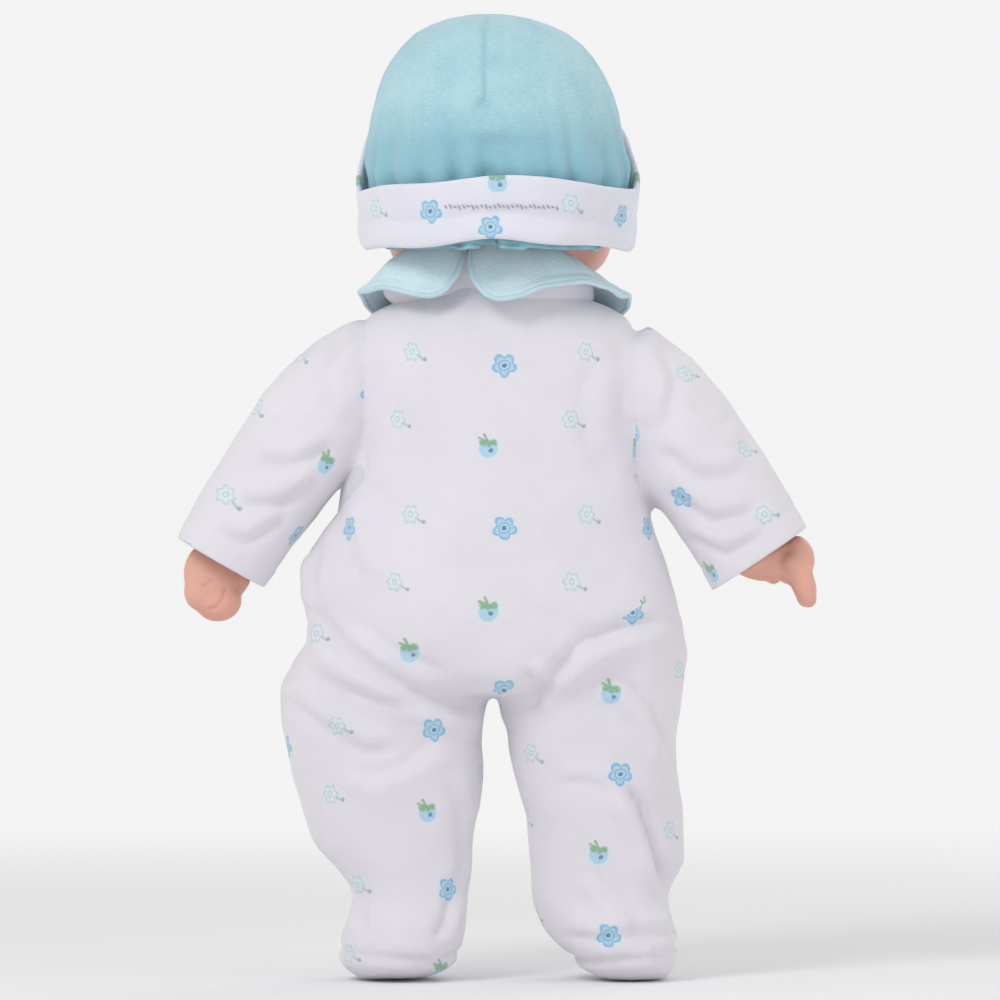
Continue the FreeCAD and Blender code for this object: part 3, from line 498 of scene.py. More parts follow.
def tiled(m, uv, offset, tile=(TILE_U, TILE_V)):
    """The cloth coordinate measured from the nearest copy of a motif."""
    shifted = m.vec("SUBTRACT", uv, (offset[0], offset[1], 0.0))
    scaled = m.vec("MULTIPLY", shifted, (1 / tile[0], 1 / tile[1], 0.0))
    u, v, _ = m.split(scaled)
    fu = m.sub(m.math("FRACT", m.add(u, 0.5)), 0.5)
    fv = m.sub(m.math("FRACT", m.add(v, 0.5)), 0.5)
    return m.mul(fu, tile[0] * 1000), m.mul(fv, tile[1] * 1000)


def disc(m, x, y, cx, cy, radius, soft=0.25):
    """1 inside a round spot, 0 outside, in mm."""
    dx, dy = m.sub(x, cx), m.sub(y, cy)
    dist = m.math("SQRT", m.add(m.mul(dx, dx), m.mul(dy, dy)))
    return m.step(dist, radius + soft, radius - soft)


def stroke(m, x, y, x0, y0, x1, y1, width):
    """1 along a short straight line, in mm."""
    length2 = (x1 - x0) ** 2 + (y1 - y0) ** 2
    rx, ry = m.sub(x, x0), m.sub(y, y0)
    dot = m.add(m.mul(rx, (x1 - x0)), m.mul(ry, (y1 - y0)))
    t = m.math("DIVIDE", dot, length2, clamp=True)
    ox = m.sub(rx, m.mul(t, x1 - x0))
    oy = m.sub(ry, m.mul(t, y1 - y0))
    dist = m.math("SQRT", m.add(m.mul(ox, ox), m.mul(oy, oy)))
    return m.step(dist, width + 0.2, width - 0.2)


def petal_edge(m, x, y, radius, petals, depth, turn_by):
    """Distance from the middle of a flower, divided by its outline there."""
    r = m.math("SQRT", m.add(m.mul(x, x), m.mul(y, y)))
    a = m.math("ARCTAN2", y, x)
    wave = m.math("ABSOLUTE", m.math("COSINE", m.mul(m.add(a, turn_by), petals / 2)))
    outline = m.mul(m.add(m.mul(wave, depth), 1 - depth), radius)
    return r, m.math("DIVIDE", r, outline)


ALL_OVER = {"tile": (TILE_U, TILE_V), "blue": [(0.0, 0.0)], "bud": [(-0.0055, -0.0295)],
            "pale": [(0.0305, 0.005), (0.024, -0.0195)]}


def flower_print(m, uv, base, layout):
    """Small blue flowers, budded sprigs and pale daisies over the base colour."""
    wobble = m.node("ShaderNodeTexNoise")
    m.plug(wobble.inputs["Vector"], uv)
    wobble.inputs["Scale"].default_value = 260.0
    wobble.inputs["Detail"].default_value = 1.0
    shift = m.vec("SCALE", m.vec("SUBTRACT", wobble.outputs["Color"], (0.5, 0.5, 0.5)), 0.0012)
    uv = m.vec("ADD", uv, shift)
    worn = m.noise(uv, 900.0, 3.0)
    ink = m.add(m.mul(worn, 0.55), 0.46, clamp=True)
    color = base

    def paint(mask, value, strength=1.0):
        nonlocal color
        color = m.mix(m.mul(m.mul(mask, ink), strength, clamp=True), color, value)

    for place in layout["blue"]:
        x, y = tiled(m, uv, place, layout["tile"])
        r, edge = petal_edge(m, x, y, 4.4, 5, 0.34, 0.3)
        paint(m.step(edge, 1.28, 1.05), srgb(205, 226, 238), 0.8)
        paint(m.step(edge, 1.04, 0.94), srgb(160, 205, 228))
        ring = m.mul(m.step(edge, 0.74, 0.84), m.step(edge, 1.06, 0.98))
        paint(ring, srgb(104, 164, 204), 0.7)
        paint(m.step(r, 2.1, 1.7), srgb(178, 214, 232), 0.9)
        paint(m.mul(m.step(r, 2.2, 2.0), m.step(r, 1.5, 1.8)), srgb(84, 146, 190), 0.7)
        paint(m.step(r, 0.95, 0.6), srgb(38, 84, 140))

    for place in layout["bud"]:
        x, y = tiled(m, uv, place, layout["tile"])
        paint(disc(m, x, y, 0.0, -0.8, 4.2, 0.5), srgb(208, 229, 240), 0.8)
        paint(disc(m, x, y, 0.0, -0.8, 3.3, 0.4), srgb(160, 203, 226))
        paint(disc(m, x, y, 0.9, -1.3, 0.8), srgb(60, 108, 168))
        leaf = disc(m, x, y, -1.8, 1.6, 1.3, 0.4)
        leaf = m.math("MAXIMUM", leaf, disc(m, x, y, 1.8, 1.5, 1.3, 0.4))
        leaf = m.math("MAXIMUM", leaf, disc(m, x, y, 0.1, 1.0, 1.1, 0.4))
        leaf = m.math("MAXIMUM", leaf, stroke(m, x, y, 0.0, 1.2, -1.2, 4.4, 0.5))
        leaf = m.math("MAXIMUM", leaf, stroke(m, x, y, -0.2, 1.6, -3.0, 3.0, 0.5))
        paint(leaf, srgb(122, 168, 108))

    for place in layout["pale"]:
        x, y = tiled(m, uv, place, layout["tile"])
        r, edge = petal_edge(m, x, y, 3.7, 6, 0.34, 0.1)
        paint(m.step(edge, 1.05, 0.9), srgb(214, 232, 234), 0.75)
        ring = m.mul(m.step(edge, 0.70, 0.85), m.step(edge, 1.06, 0.96))
        paint(ring, srgb(160, 203, 210), 0.75)
        paint(m.mul(m.step(r, 1.3, 1.1), m.step(r, 0.5, 0.8)), srgb(150, 198, 208), 0.8)
        paint(stroke(m, x, y, 3.0, -1.6, 5.4, -3.0, 0.45), srgb(138, 182, 186), 0.8)
        paint(disc(m, x, y, 5.6, -2.6, 0.8), srgb(122, 160, 140), 0.8)
    return color


def printed_jersey(name, offset, angle, base=(228, 225, 231), layout=ALL_OVER):
    """White jersey with the flower print, its pattern shifted and turned on this piece."""
    m = Nodes(name)
    uv = m.cloth_uv()
    mapping = m.node("ShaderNodeMapping", vector_type="TEXTURE")
    m.plug(mapping.inputs["Vector"], uv)
    mapping.inputs["Location"].default_value = (offset[0] * MM, offset[1] * MM, 0)
    mapping.inputs["Rotation"].default_value = (0, 0, math.radians(angle))
    soft = m.noise(m.place(), 45.0, 3.0)
    plain = m.mix(soft, srgb(base[0] - 5, base[1] - 6, base[2] - 5), srgb(base[0] + 5, base[1] + 4, base[2] + 5))
    fluff = m.noise(m.place(), 1800.0, 2.0)
    plain = m.mix(m.mul(fluff, 0.12), plain, srgb(198, 192, 203))
    cloth_shader(m, flower_print(m, mapping.outputs[0], plain, layout))
    height = m.add(m.mul(knit_height(m, uv, 0.00085), 0.5),
                    m.mul(m.noise(m.place(), 900.0, 3.0), 0.9))
    m.bump(height, 0.35, 0.00025)
    return m.mat


def aqua_jersey(name, light=(176, 214, 224), dark=(150, 199, 212), depth=0.45, shade_below=0.0):
    """Heathered aqua jersey, with painted shade that darkens it below a given height, where it is gathered into the
    cuff.
    """
    m = Nodes(name)
    uv = m.cloth_uv()
    stretch = m.vec("MULTIPLY", uv, (1.0, 5.0, 1.0))
    heather = m.noise(stretch, 420.0, 4.0, 0.7)
    patch = m.noise(m.place(), 70.0, 3.0)
    share = m.add(m.mul(heather, 0.75), m.mul(patch, 0.35))
    base = m.mix(m.step(share, 0.42, 0.66), srgb(*dark), srgb(*light))
    # painted shade: a deeper teal below the height stands in for the shade among the gathers over the cuff
    if shade_below:
        height = m.split(m.place())[2]
        painted_shade = m.mul(m.step(height, shade_below + 0.022, shade_below - 0.004), 0.8)
        base = m.mix(painted_shade, base, srgb(124, 180, 196))
    fluff = m.noise(m.place(), 1500.0, 2.0)
    cloth_shader(m, m.mix(m.mul(fluff, 0.15), base, srgb(200, 228, 234)), sheen=0.3)
    height = m.add(m.mul(knit_height(m, uv, 0.0011), 0.7),
                    m.mul(m.noise(m.place(), 1100.0, 3.0), 0.8))
    m.bump(height, depth, 0.0003)
    return m.mat


def plain_cloth(name, rgb, weave=0.0006, strength=0.4):
    m = Nodes(name)
    p = m.place()
    patch = m.noise(p, 60.0, 3.0)
    darker = tuple(int(c * 0.92) for c in rgb)
    cloth_shader(m, m.mix(patch, srgb(*darker), srgb(*rgb)))
    x, y, z = m.split(p)
    a = m.math("SINE", m.mul(m.add(x, y), 2 * math.pi / weave))
    b = m.math("SINE", m.mul(z, 2 * math.pi / weave))
    m.bump(m.mul(a, b), strength, 0.0002)
    return m.mat


def vinyl(name, blush=()):
    """Soft skin-coloured vinyl. blush is a list of (x, y, z, radius, colour, strength) in mm."""
    m = Nodes(name)
    p = m.place()
    tone = m.noise(p, 35.0, 2.0)
    color = m.mix(tone, srgb(224, 166, 148), srgb(232, 178, 160))
    for x, y, z, radius, rgb, strength in blush:
        away = m.vec("LENGTH", m.vec("SUBTRACT", p, (x * MM, y * MM, z * MM)))
        mask = m.step(away, radius * MM, radius * MM * 0.25)
        color = m.mix(m.mul(mask, strength), color, srgb(*rgb))
    m.plug(m.shader.inputs["Base Color"], color)
    m.shader.inputs["Roughness"].default_value = 0.48
    m.shader.inputs["Specular IOR Level"].default_value = 0.35
    m.shader.inputs["Subsurface Weight"].default_value = 0.15
    m.shader.inputs["Subsurface Radius"].default_value = (0.004, 0.0015, 0.0008)
    m.shader.inputs["Subsurface Scale"].default_value = 1.0
    m.bump(m.noise(p, 1400.0, 2.0), 0.12, 0.0002)
    return m.mat


def plastic(name, rgb, rough=0.4, grain=2200.0, metal=0.0, strength=0.1):
    m = Nodes(name)
    p = m.place()
    darker = tuple(int(c * 0.9) for c in rgb)
    m.plug(m.shader.inputs["Base Color"], m.mix(m.noise(p, 120.0, 2.0), srgb(*darker), srgb(*rgb)))
    m.shader.inputs["Roughness"].default_value = rough
    m.shader.inputs["Metallic"].default_value = metal
    m.bump(m.noise(p, grain, 2.0), strength, 0.0001)
    return m.mat


def give(obj, material):
    obj.data.materials.clear()
    obj.data.materials.append(material)


# ------------------------------------------------------------------ places from the CAD
joints = {j["name"]: j for j in frame["joints"]}
SHOULDER = {s: np.array(joints[f"arm_swing_{s}"]["pos_m"]) / MM for s in ("left", "right")}
ARM_AXIS = {s: np.array(joints[f"hand_twist_{s}"]["axis"]) for s in ("left", "right")}
SIGN = {"left": 1, "right": -1}
ARMHOLE_X = 49.5
CROTCH = (2.0, 106.0)                       # inner end of each leg seam: |x| and z
FRONT_PANEL_AT = 130.0                      # how far round the print the front panels start, mm
LEG_NORMAL = np.array([0.54, 0.0, -0.84])   # of the left leg's seam plane, towards the foot

SLEEVES = {
    "left": {"line": [(42, 229), (56, 218), (70, 201), (84, 181), (95, 165), (102.5, 153.5), (108, 144)],
             "flat": [18, 20.5, 21.5, 20.5, 19.5, 18.5, 18.5],
             "deep": [19, 22, 22, 21.5, 20.5, 19.8, 19.8],
             "cuff": (102.5, 153.5), "down": (0.50, -0.866)},
    "right": {"line": [(-42, 227), (-55, 215), (-67, 199), (-79, 181), (-88, 167), (-95.2, 154.8), (-101, 145)],
              "flat": [18, 20.5, 22, 22, 21.2, 20.8, 20.8],
              "deep": [19, 22, 22, 22, 21, 20.3, 20.3],
              "cuff": (-95.2, 154.8), "down": (-0.558, -0.83)},
}
# height, inner edge, outer edge (both measured outwards from the middle), half depth, middle in Y
LEGS = {
    "left": [(122, 2, 73, 32, -4), (115, 1.5, 77, 32, -4), (108, 3.5, 80.5, 31, -4), (97, 6.3, 81, 30, -5),
             (86, 6.6, 79, 29, -6), (75, 6.0, 77, 28, -6), (64, 7.4, 73, 26.5, -6), (53, 10.0, 69.6, 24.5, -6),
             (47, 10.3, 66.5, 23.5, -6), (41, 10.4, 60.5, 22.5, -6), (36, 11.0, 56.3, 21.5, -6),
             (30, 11.6, 53.6, 22, -6), (25, 12.2, 55, 25, -7), (19.5, 11.8, 57.8, 28.5, -8),
             (14, 12.6, 58.6, 30.5, -8), (8.5, 15.0, 58.2, 29.5, -8), (4, 19.0, 56.5, 26, -8),
             (0.5, 25.0, 52.0, 19, -8)],
    "right": [(122, 0, 69, 32, -4), (115, 0, 67.5, 32, -4), (108, 0, 66.5, 31, -4), (97, 0, 66, 30, -5),
              (91, 3.0, 65.5, 29.5, -5.5), (80, 3.9, 64.5, 28.5, -6), (69, 6.6, 66.2, 27, -6),
              (58, 9.8, 66.6, 25.5, -6), (47, 10.7, 67.0, 24, -6), (41, 11.2, 66.3, 23, -6),
              (36, 11.8, 63.5, 22, -6), (30, 12.3, 61.8, 22.5, -6), (25, 13.5, 62.9, 25, -7),
              (19.5, 15.5, 64.8, 28.5, -8), (14, 20.0, 66, 30.5, -8), (8.5, 26.0, 65.3, 29.5, -8),
              (4, 31, 64.5, 25, -8), (0.5, 36, 62, 18, -8)],
}
# height, left edge, right edge, half depth, middle in Y, squareness
TORSO = [(258, 24, -24, 17, 7, 2.0), (254, 27, -27, 21, 5, 2.0), (250, 33, -31, 25, 1, 2.0), (247, 44, -40, 28, 0, 2.1), (242, 51, -48, 30, 0, 2.3),
         (234, 52.5, -51, 32, 0, 2.5), (222, 52, -51, 33.5, -1, 2.6), (206, 51, -50, 35.5, -1, 2.6),
         (191, 52, -50.5, 37, -2, 2.5), (176, 56.5, -53.5, 38.5, -2, 2.4), (164, 66, -57.5, 39.5, -2, 2.3),
         (153, 73.5, -61.5, 40, -2, 2.2), (143, 73, -64.5, 40, -1, 2.1), (133, 70.5, -66.5, 39.5, 0, 2.0),
         (122, 70, -67, 37, 1, 2.0), (112, 58, -56, 32, 2, 2.0), (105, 34, -32, 22, 3, 2.0)]


def seat_side(side, p):
    """How far each point lies beyond a leg's seam plane, towards the foot."""
    sign = SIGN[side]
    return (sign * p[:, 0] - CROTCH[0]) * LEG_NORMAL[0] + (p[:, 2] - CROTCH[1]) * LEG_NORMAL[2]


def sleeper_skin():
    """The whole sleeper as one skin, before it is cut into its pieces."""
    shapes = [ring_tube([level_ring(z, (a + b) / 2, cy, (a - b) / 2, ry, power)
                         for z, a, b, ry, cy, power in reversed(TORSO)])]
    for side, sign in SIGN.items():
        rings = []
        for z, inner, outer, ry, cy in reversed(LEGS[side]):
            rings.append(level_ring(z, sign * (inner + outer) / 2, cy, (outer - inner) / 2, ry, 2.2))
        shapes.append(ring_tube(rings))
        arm = SLEEVES[side]
        line = [np.array([x, 0.0, z]) for x, z in arm["line"]]
        tube = []
        for i, p in enumerate(line):
            along = line[min(i + 1, len(line) - 1)] - line[max(i - 1, 0)]
            tube.append(tilted_ring(p, along, arm["flat"][i], arm["deep"][i]))
        shapes.append(ring_tube(tube))
    obj = join_shapes("sleeper_all", shapes)
    fuse_skin(obj, 1.7)
    relax(obj, 10, 0.6)
    return obj


BACK_FOLDS = [
    # line in (x, z), depth, width, ridge, where the ridge lies
    # seat of the left leg, from the outer hip to the crotch
    ([(70, 139), (58, 124), (42, 112), (28, 104), (14, 100), (3, 106)], 1.5, 2.4, 1.6, -5.5),
    ([(74, 117), (60, 108), (44, 103), (30, 100)], 0.9, 2.0, 1.0, 5.0),
    ([(55, 134), (42, 124), (27, 116), (17, 110)], 0.8, 2.2, 0.9, -5.0),
    ([(81, 106), (66, 94), (50, 84), (36, 85)], 0.9, 2.4, 1.0, 5.0),
    ([(58, 80), (46, 76), (34, 80), (22, 90)], 0.7, 2.6, 0.8, -5.5),
    ([(20, 75), (14, 62), (13, 46), (17, 30)], 0.9, 2.2, 0.9, 4.5),
    ([(52, 34), (50, 24), (51, 16)], 1.1, 1.6, 1.0, -4.0),
    ([(18, 32), (20, 22), (24, 15)], 1.2, 1.6, 1.1, 4.0),
    # seat of the right leg, and the long fold down its outside
    ([(-64, 134), (-44, 130), (-28, 123), (-18, 112), (-14, 101)], 2.0, 2.6, 1.6, 6.0),
    ([(-8, 116), (-14, 108), (-12, 97)], 0.9, 2.2, 0.8, 4.0),
    ([(-34, 113), (-46, 110), (-55, 101), (-60, 88), (-62, 76)], 1.0, 2.0, 1.9, -5.0),
    ([(-44, 74), (-52, 64), (-57, 50), (-60, 37), (-62, 32)], 2.2, 1.9, 1.6, -5.5),
    ([(-34, 42), (-42, 30), (-52, 23)], 0.8, 2.0, 1.3, -4.5),
    ([(-21, 73), (-32, 73), (-40, 70)], 0.6, 1.8, 0.6, 4.0),
    ([(-21, 17), (-36, 16), (-50, 18), (-64, 17)], 1.2, 1.8, 1.2, 4.0),
    # side of the waist on the left, under the arm
    ([(67, 160), (69, 148), (67, 136)], 1.2, 2.2, 1.4, -5.0),
    ([(60, 176), (55, 160), (52, 146)], 0.8, 2.8, 0.9, 5.5),
    # back panel
    ([(-38, 232), (-30, 214), (-33, 196), (-44, 180)], 0.7, 3.6, 0.8, 7.5),
    ([(40, 214), (32, 196), (36, 176)], 0.5, 3.8, 0.6, -7.5),
    ([(-12, 138), (-26, 128), (-40, 126)], 0.5, 3.2, 0.6, -6.5),
]
SLEEVE_FOLDS = {
    "left": [([(56, 240), (66, 222), (62, 202)], 0.9, 2.4, 1.0, 5.0),
             ([(60, 196), (76, 188), (90, 190)], 0.9, 2.2, 1.0, -5.0),
             ([(64, 184), (80, 174), (97, 174)], 1.2, 2.2, 1.2, -5.0),
             ([(76, 170), (92, 160), (104, 165)], 0.9, 2.0, 0.9, -4.5),
             ([(70, 213), (84, 206), (92, 208)], 0.6, 2.4, 0.6, 5.0)],
    "right": [([(-56, 240), (-64, 220), (-60, 200)], 0.9, 2.4, 1.0, -5.0),
              ([(-57, 196), (-72, 184), (-90, 186)], 0.9, 2.2, 1.0, 5.0),
              ([(-60, 180), (-76, 168), (-94, 172)], 1.2, 2.2, 1.2, 5.0),
              ([(-66, 164), (-82, 156), (-98, 164)], 0.9, 2.0, 0.9, 4.5),
              ([(-68, 212), (-80, 204), (-88, 206)], 0.6, 2.4, 0.6, -5.0)],
}
FRONT_FOLDS = [
    ([(66, 132), (44, 122), (26, 112), (8, 108)], 1.8, 2.6, 1.4, -6.0),
    ([(-66, 132), (-44, 122), (-26, 112), (-8, 108)], 1.8, 2.6, 1.4, 6.0),
    ([(24, 226), (34, 206), (30, 184)], 0.7, 3.2, 0.8, 6.5),
    ([(-24, 226), (-34, 206), (-30, 184)], 0.7, 3.2, 0.8, -6.5),
    ([(14, 172), (34, 160), (54, 156)], 0.6, 3.4, 0.7, 7.0),
    ([(-12, 160), (-32, 150), (-52, 150)], 0.6, 3.4, 0.7, -7.0),
    ([(16, 92), (32, 80), (56, 78)], 0.8, 2.8, 0.9, 5.5),
    ([(-14, 88), (-32, 76), (-54, 74)], 0.8, 2.8, 0.9, -5.5),
    ([(18, 56), (32, 48), (54, 52)], 0.7, 2.4, 0.8, 5.0),
    ([(-20, 52), (-34, 46), (-56, 50)], 0.7, 2.4, 0.8, -5.0),
]


def fold_sleeper(obj):
    """Folds, seams and slackness pushed into the sleeper's skin."""
    p, n = get_points(obj), get_normals(obj)
    push = 0.55 * lumps(p, 30.0, 3) + 0.18 * lumps(p, 11.0, 4)
    for line, depth, width, ridge, at in BACK_FOLDS:
        push += crease(p, n, line, depth, width, 1, ridge, at)
    for line, depth, width, ridge, at in FRONT_FOLDS:
        push += crease(p, n, line, depth, width, -1, ridge, at)
    for side in SIGN:
        for line, depth, width, ridge, at in SLEEVE_FOLDS[side]:
            push += crease(p, n, line, depth, width, 1, ridge, at)
            shifted = [(x, z + 5) for x, z in line]
            push += crease(p, n, shifted, depth, width, -1, ridge, at)
        # armhole seam, pulled in, with small puckers beside it
        sign = SIGN[side]
        off = sign * p[:, 0] - ARMHOLE_X
        near = np.exp(-(off / 1.3) ** 2) * (p[:, 2] > 184)
        ring = np.arctan2(p[:, 1], p[:, 2] - 214)
        pucker = np.sin(ring * 21 + 2 * np.sin(ring * 5)) * np.exp(-(off / 4.0) ** 2) * (p[:, 2] > 184)
        push += -1.1 * near + 0.22 * pucker
        # the foot's seam above the sole
        seam = foot_seam_height(side, p)
        own = sign * p[:, 0] > 5
        push += np.where(own, -1.7 * np.exp(-((p[:, 2] - seam) / 1.2) ** 2), 0)
        push += np.where(own, 0.9 * np.exp(-((p[:, 2] - seam + 3.4) / 2.4) ** 2), 0)
        gather = np.sin(np.arctan2(p[:, 1] + 8, sign * p[:, 0] - 38) * 26)
        push += np.where(own, 0.4 * gather * np.exp(-((p[:, 2] - seam - 2.5) / 3.0) ** 2), 0)
        # the turned hem of the sleeve and its stitched line
        arm = SLEEVES[side]
        rel = (p[:, 0] - arm["cuff"][0]) * arm["down"][0] + (p[:, 2] - arm["cuff"][1]) * arm["down"][1]
        arm_side = sign * p[:, 0] > 66
        push += np.where(arm_side & (rel > -20), -0.55 * np.exp(-((rel + 8.0) / 0.8) ** 2), 0)
        push += np.where(arm_side & (rel > -8.0), 0.35, 0)
    p = p + n * push[:, None]
    p[:, 2] = np.maximum(p[:, 2], 0.25)
    set_points(obj, p)
    relax(obj, 2, 0.35)
    p = get_points(obj)
    p[:, 2] = np.maximum(p[:, 2], 0.05)
    set_points(obj, p)


def foot_seam_height(side, p):
    """The sole's seam: low at the heel, higher along the sides and over the toes."""
    forward = np.clip((20 - p[:, 1]) / 60, 0, 1)
    if side == "left":
        return 8.5 + 4.5 * forward + 0.05 * (p[:, 0] - 35)
    return 8.0 + 4.5 * forward - 0.10 * (p[:, 0] + 45)


def panel_uv(obj, centre_x, centre_y):
    """Cloth coordinates in a back panel and a front panel, sewn together at the sides."""
    mesh = obj.data
    layer = mesh.uv_layers.get("cloth") or mesh.uv_layers.new(name="cloth")
    corner = np.empty(len(mesh.loops), dtype=np.int32)
    mesh.loops.foreach_get("vertex_index", corner)
    p = get_points(obj)[corner]
    centres = np.empty(len(mesh.polygons) * 3)
    mesh.polygons.foreach_get("center", centres)
    sizes = np.empty(len(mesh.polygons), dtype=np.int32)
    mesh.polygons.foreach_get("loop_total", sizes)
    front = np.repeat(centres.reshape(-1, 3)[:, 1] / MM < centre_y, sizes)
    facing = np.where(front, -1, 1)
    dx, dy = -facing * (p[:, 0] - centre_x), facing * (p[:, 1] - centre_y)
    round_it = np.arctan2(dx, dy) * np.hypot(dx, dy) * 0.93 + np.where(front, FRONT_PANEL_AT, 0.0)
    uvs = np.stack([round_it * MM, p[:, 2] * MM], axis=1)
    layer.data.foreach_set("uv", uvs.astype(np.float32).ravel())


def limb_uv(p, start, along):
    """Cloth coordinates round a limb that leans in the XZ plane."""
    along = np.array(along) / np.linalg.norm(along)
    across = np.array([-along[2], 0.0, along[0]])
    rel = p - start
    s, w, d = rel @ along, rel @ across, rel[:, 1]
    angle = np.arctan2(-w, d)
    return np.stack([angle * 20.5 * MM, -s * MM], axis=1)


def open_cuff(obj, arm, normals):
    """Cuts the sleeve at its cuff and turns a hem inwards."""
    keep_shading(obj, normals)
    centre = Vector((arm["cuff"][0], 0.0, arm["cuff"][1])) * MM
    down = Vector((arm["down"][0], 0.0, arm["down"][1])).normalized()
    with editing(obj) as bm:
        geom = bm.verts[:] + bm.edges[:] + bm.faces[:]
        bmesh.ops.bisect_plane(bm, geom=geom, plane_co=centre, plane_no=down, clear_outer=True, dist=1e-7)
        edges = [e for e in bm.edges
                 if e.is_boundary and all(abs((v.co - centre).dot(down)) < 1e-5 for v in e.verts)]
        for inwards, back in ((0.5, -0.35), (0.75, 0.3), (0.45, 1.6), (0.2, 9.0), (0.8, 6.0)):
            verts, edges = extrude_rim(bm, edges)
            for v in verts:
                radial = v.co - centre
                radial -= down * radial.dot(down)
                v.co -= radial.normalized() * inwards * MM
                v.co -= down * back * MM
        bmesh.ops.recalc_face_normals(bm, faces=bm.faces[:])


def opening_wall(obj, name, near, bulge):
    """A wall of cloth across an opening, which shows only when the limb there swings away."""
    bm = bmesh.new()
    bm.from_mesh(obj.data)
    links = {}
    for e in bm.edges:
        a, b = e.verts
        if e.is_boundary and near(a.co / MM) and near(b.co / MM):
            links.setdefault(a.index, []).append(b.index)
            links.setdefault(b.index, []).append(a.index)
    loops, left = [], set(links)
    while left:
        loop, at = [], next(iter(left))
        while at is not None:
            loop.append(at)
            left.discard(at)
            at = next((v for v in links[at] if v in left), None)
        loops.append(loop)
    bm.verts.ensure_lookup_table()
    points = np.array([bm.verts[i].co[:] for i in max(loops, key=len)]) / MM
    bm.free()
    middle, verts, faces = points.mean(axis=0), [], []
    steps = (1.0, 0.94, 0.8, 0.6, 0.4, 0.2)
    for share in steps:
        smooth = points
        for _ in range(int((1 - share) * 60)):
            smooth = (np.roll(smooth, 1, axis=0) + smooth + np.roll(smooth, -1, axis=0)) / 3
        verts += list(middle + (smooth - middle) * share + np.array(bulge) * (1 - share ** 2))
    verts.append(middle + np.array(bulge))
    n = len(points)
    for k in range(len(steps) - 1):
        faces += [(k * n + j, k * n + (j + 1) % n, (k + 1) * n + (j + 1) % n, (k + 1) * n + j) for j in range(n)]
    last = (len(steps) - 1) * n
    faces += [(last + j, last + (j + 1) % n, len(verts) - 1) for j in range(n)]
    return make_object(name, verts, faces, [(v[1] * MM, v[2] * MM) for v in verts])


def build_sleeper():
    whole = sleeper_skin()
    fold_sleeper(whole)
    for side, sign in SIGN.items():
        cut_by_plane(whole, (sign * ARMHOLE_X, 0, 0), (1, 0, 0))
        cut_by_plane(whole, (sign * CROTCH[0], 0, CROTCH[1]),
                     (sign * LEG_NORMAL[0], 0, LEG_NORMAL[2]))
        cut_by_plane(whole, (sign * ARMHOLE_X, 0, 183.0), (sign * 1.15, 0, 1.0))

    def sleeve_faces(side):
        sign = SIGN[side]

        def keep(c):
            return (sign * c[:, 0] > ARMHOLE_X) & (c[:, 2] > arm_floor(sign * c[:, 0]))
        return keep

    def arm_floor(x):
        """Below this height a point outside the armhole belongs to the body, not the sleeve."""
        return np.where(x < 72, 183.0 - (x - 49.5) * 1.15, 130.0)

    def leg_faces(side):
        def keep(c):
            own = (seat_side(side, c) > 0) & (SIGN[side] * c[:, 0] > 0)
            return own & ~sleeve_faces("left")(c) & ~sleeve_faces("right")(c)
        return keep

    def torso_faces(c):
        other = np.zeros(len(c), dtype=bool)
        for side in SIGN:
            other |= sleeve_faces(side)(c) | leg_faces(side)(c)
        return ~other

    made = {}
    torso, normals = take_faces(whole, "sleeper_torso", torso_faces)
    panel_uv(torso, 0, -4)
    keep_shading(torso, normals)
    made["torso"] = torso
    for side, sign in SIGN.items():
        piece, normals = take_faces(whole, f"sleeve_cloth_{side}", sleeve_faces(side))
        arm = SLEEVES[side]
        open_cuff(piece, arm, normals)
        start = np.array([SHOULDER[side][0], 0, SHOULDER[side][2]])
        along = np.array([arm["down"][0], 0, arm["down"][1]])
        set_uv(piece, limb_uv(get_points(piece), start, along))
        made[f"sleeve_{side}"] = piece
        leg, normals = take_faces(whole, f"sleeper_leg_cloth_{side}", leg_faces(side))
        panel_uv(leg, sign * 37, -6)
        keep_shading(leg, normals)
        made[f"leg_{side}"] = leg
    bpy.data.objects.remove(whole)
    return made


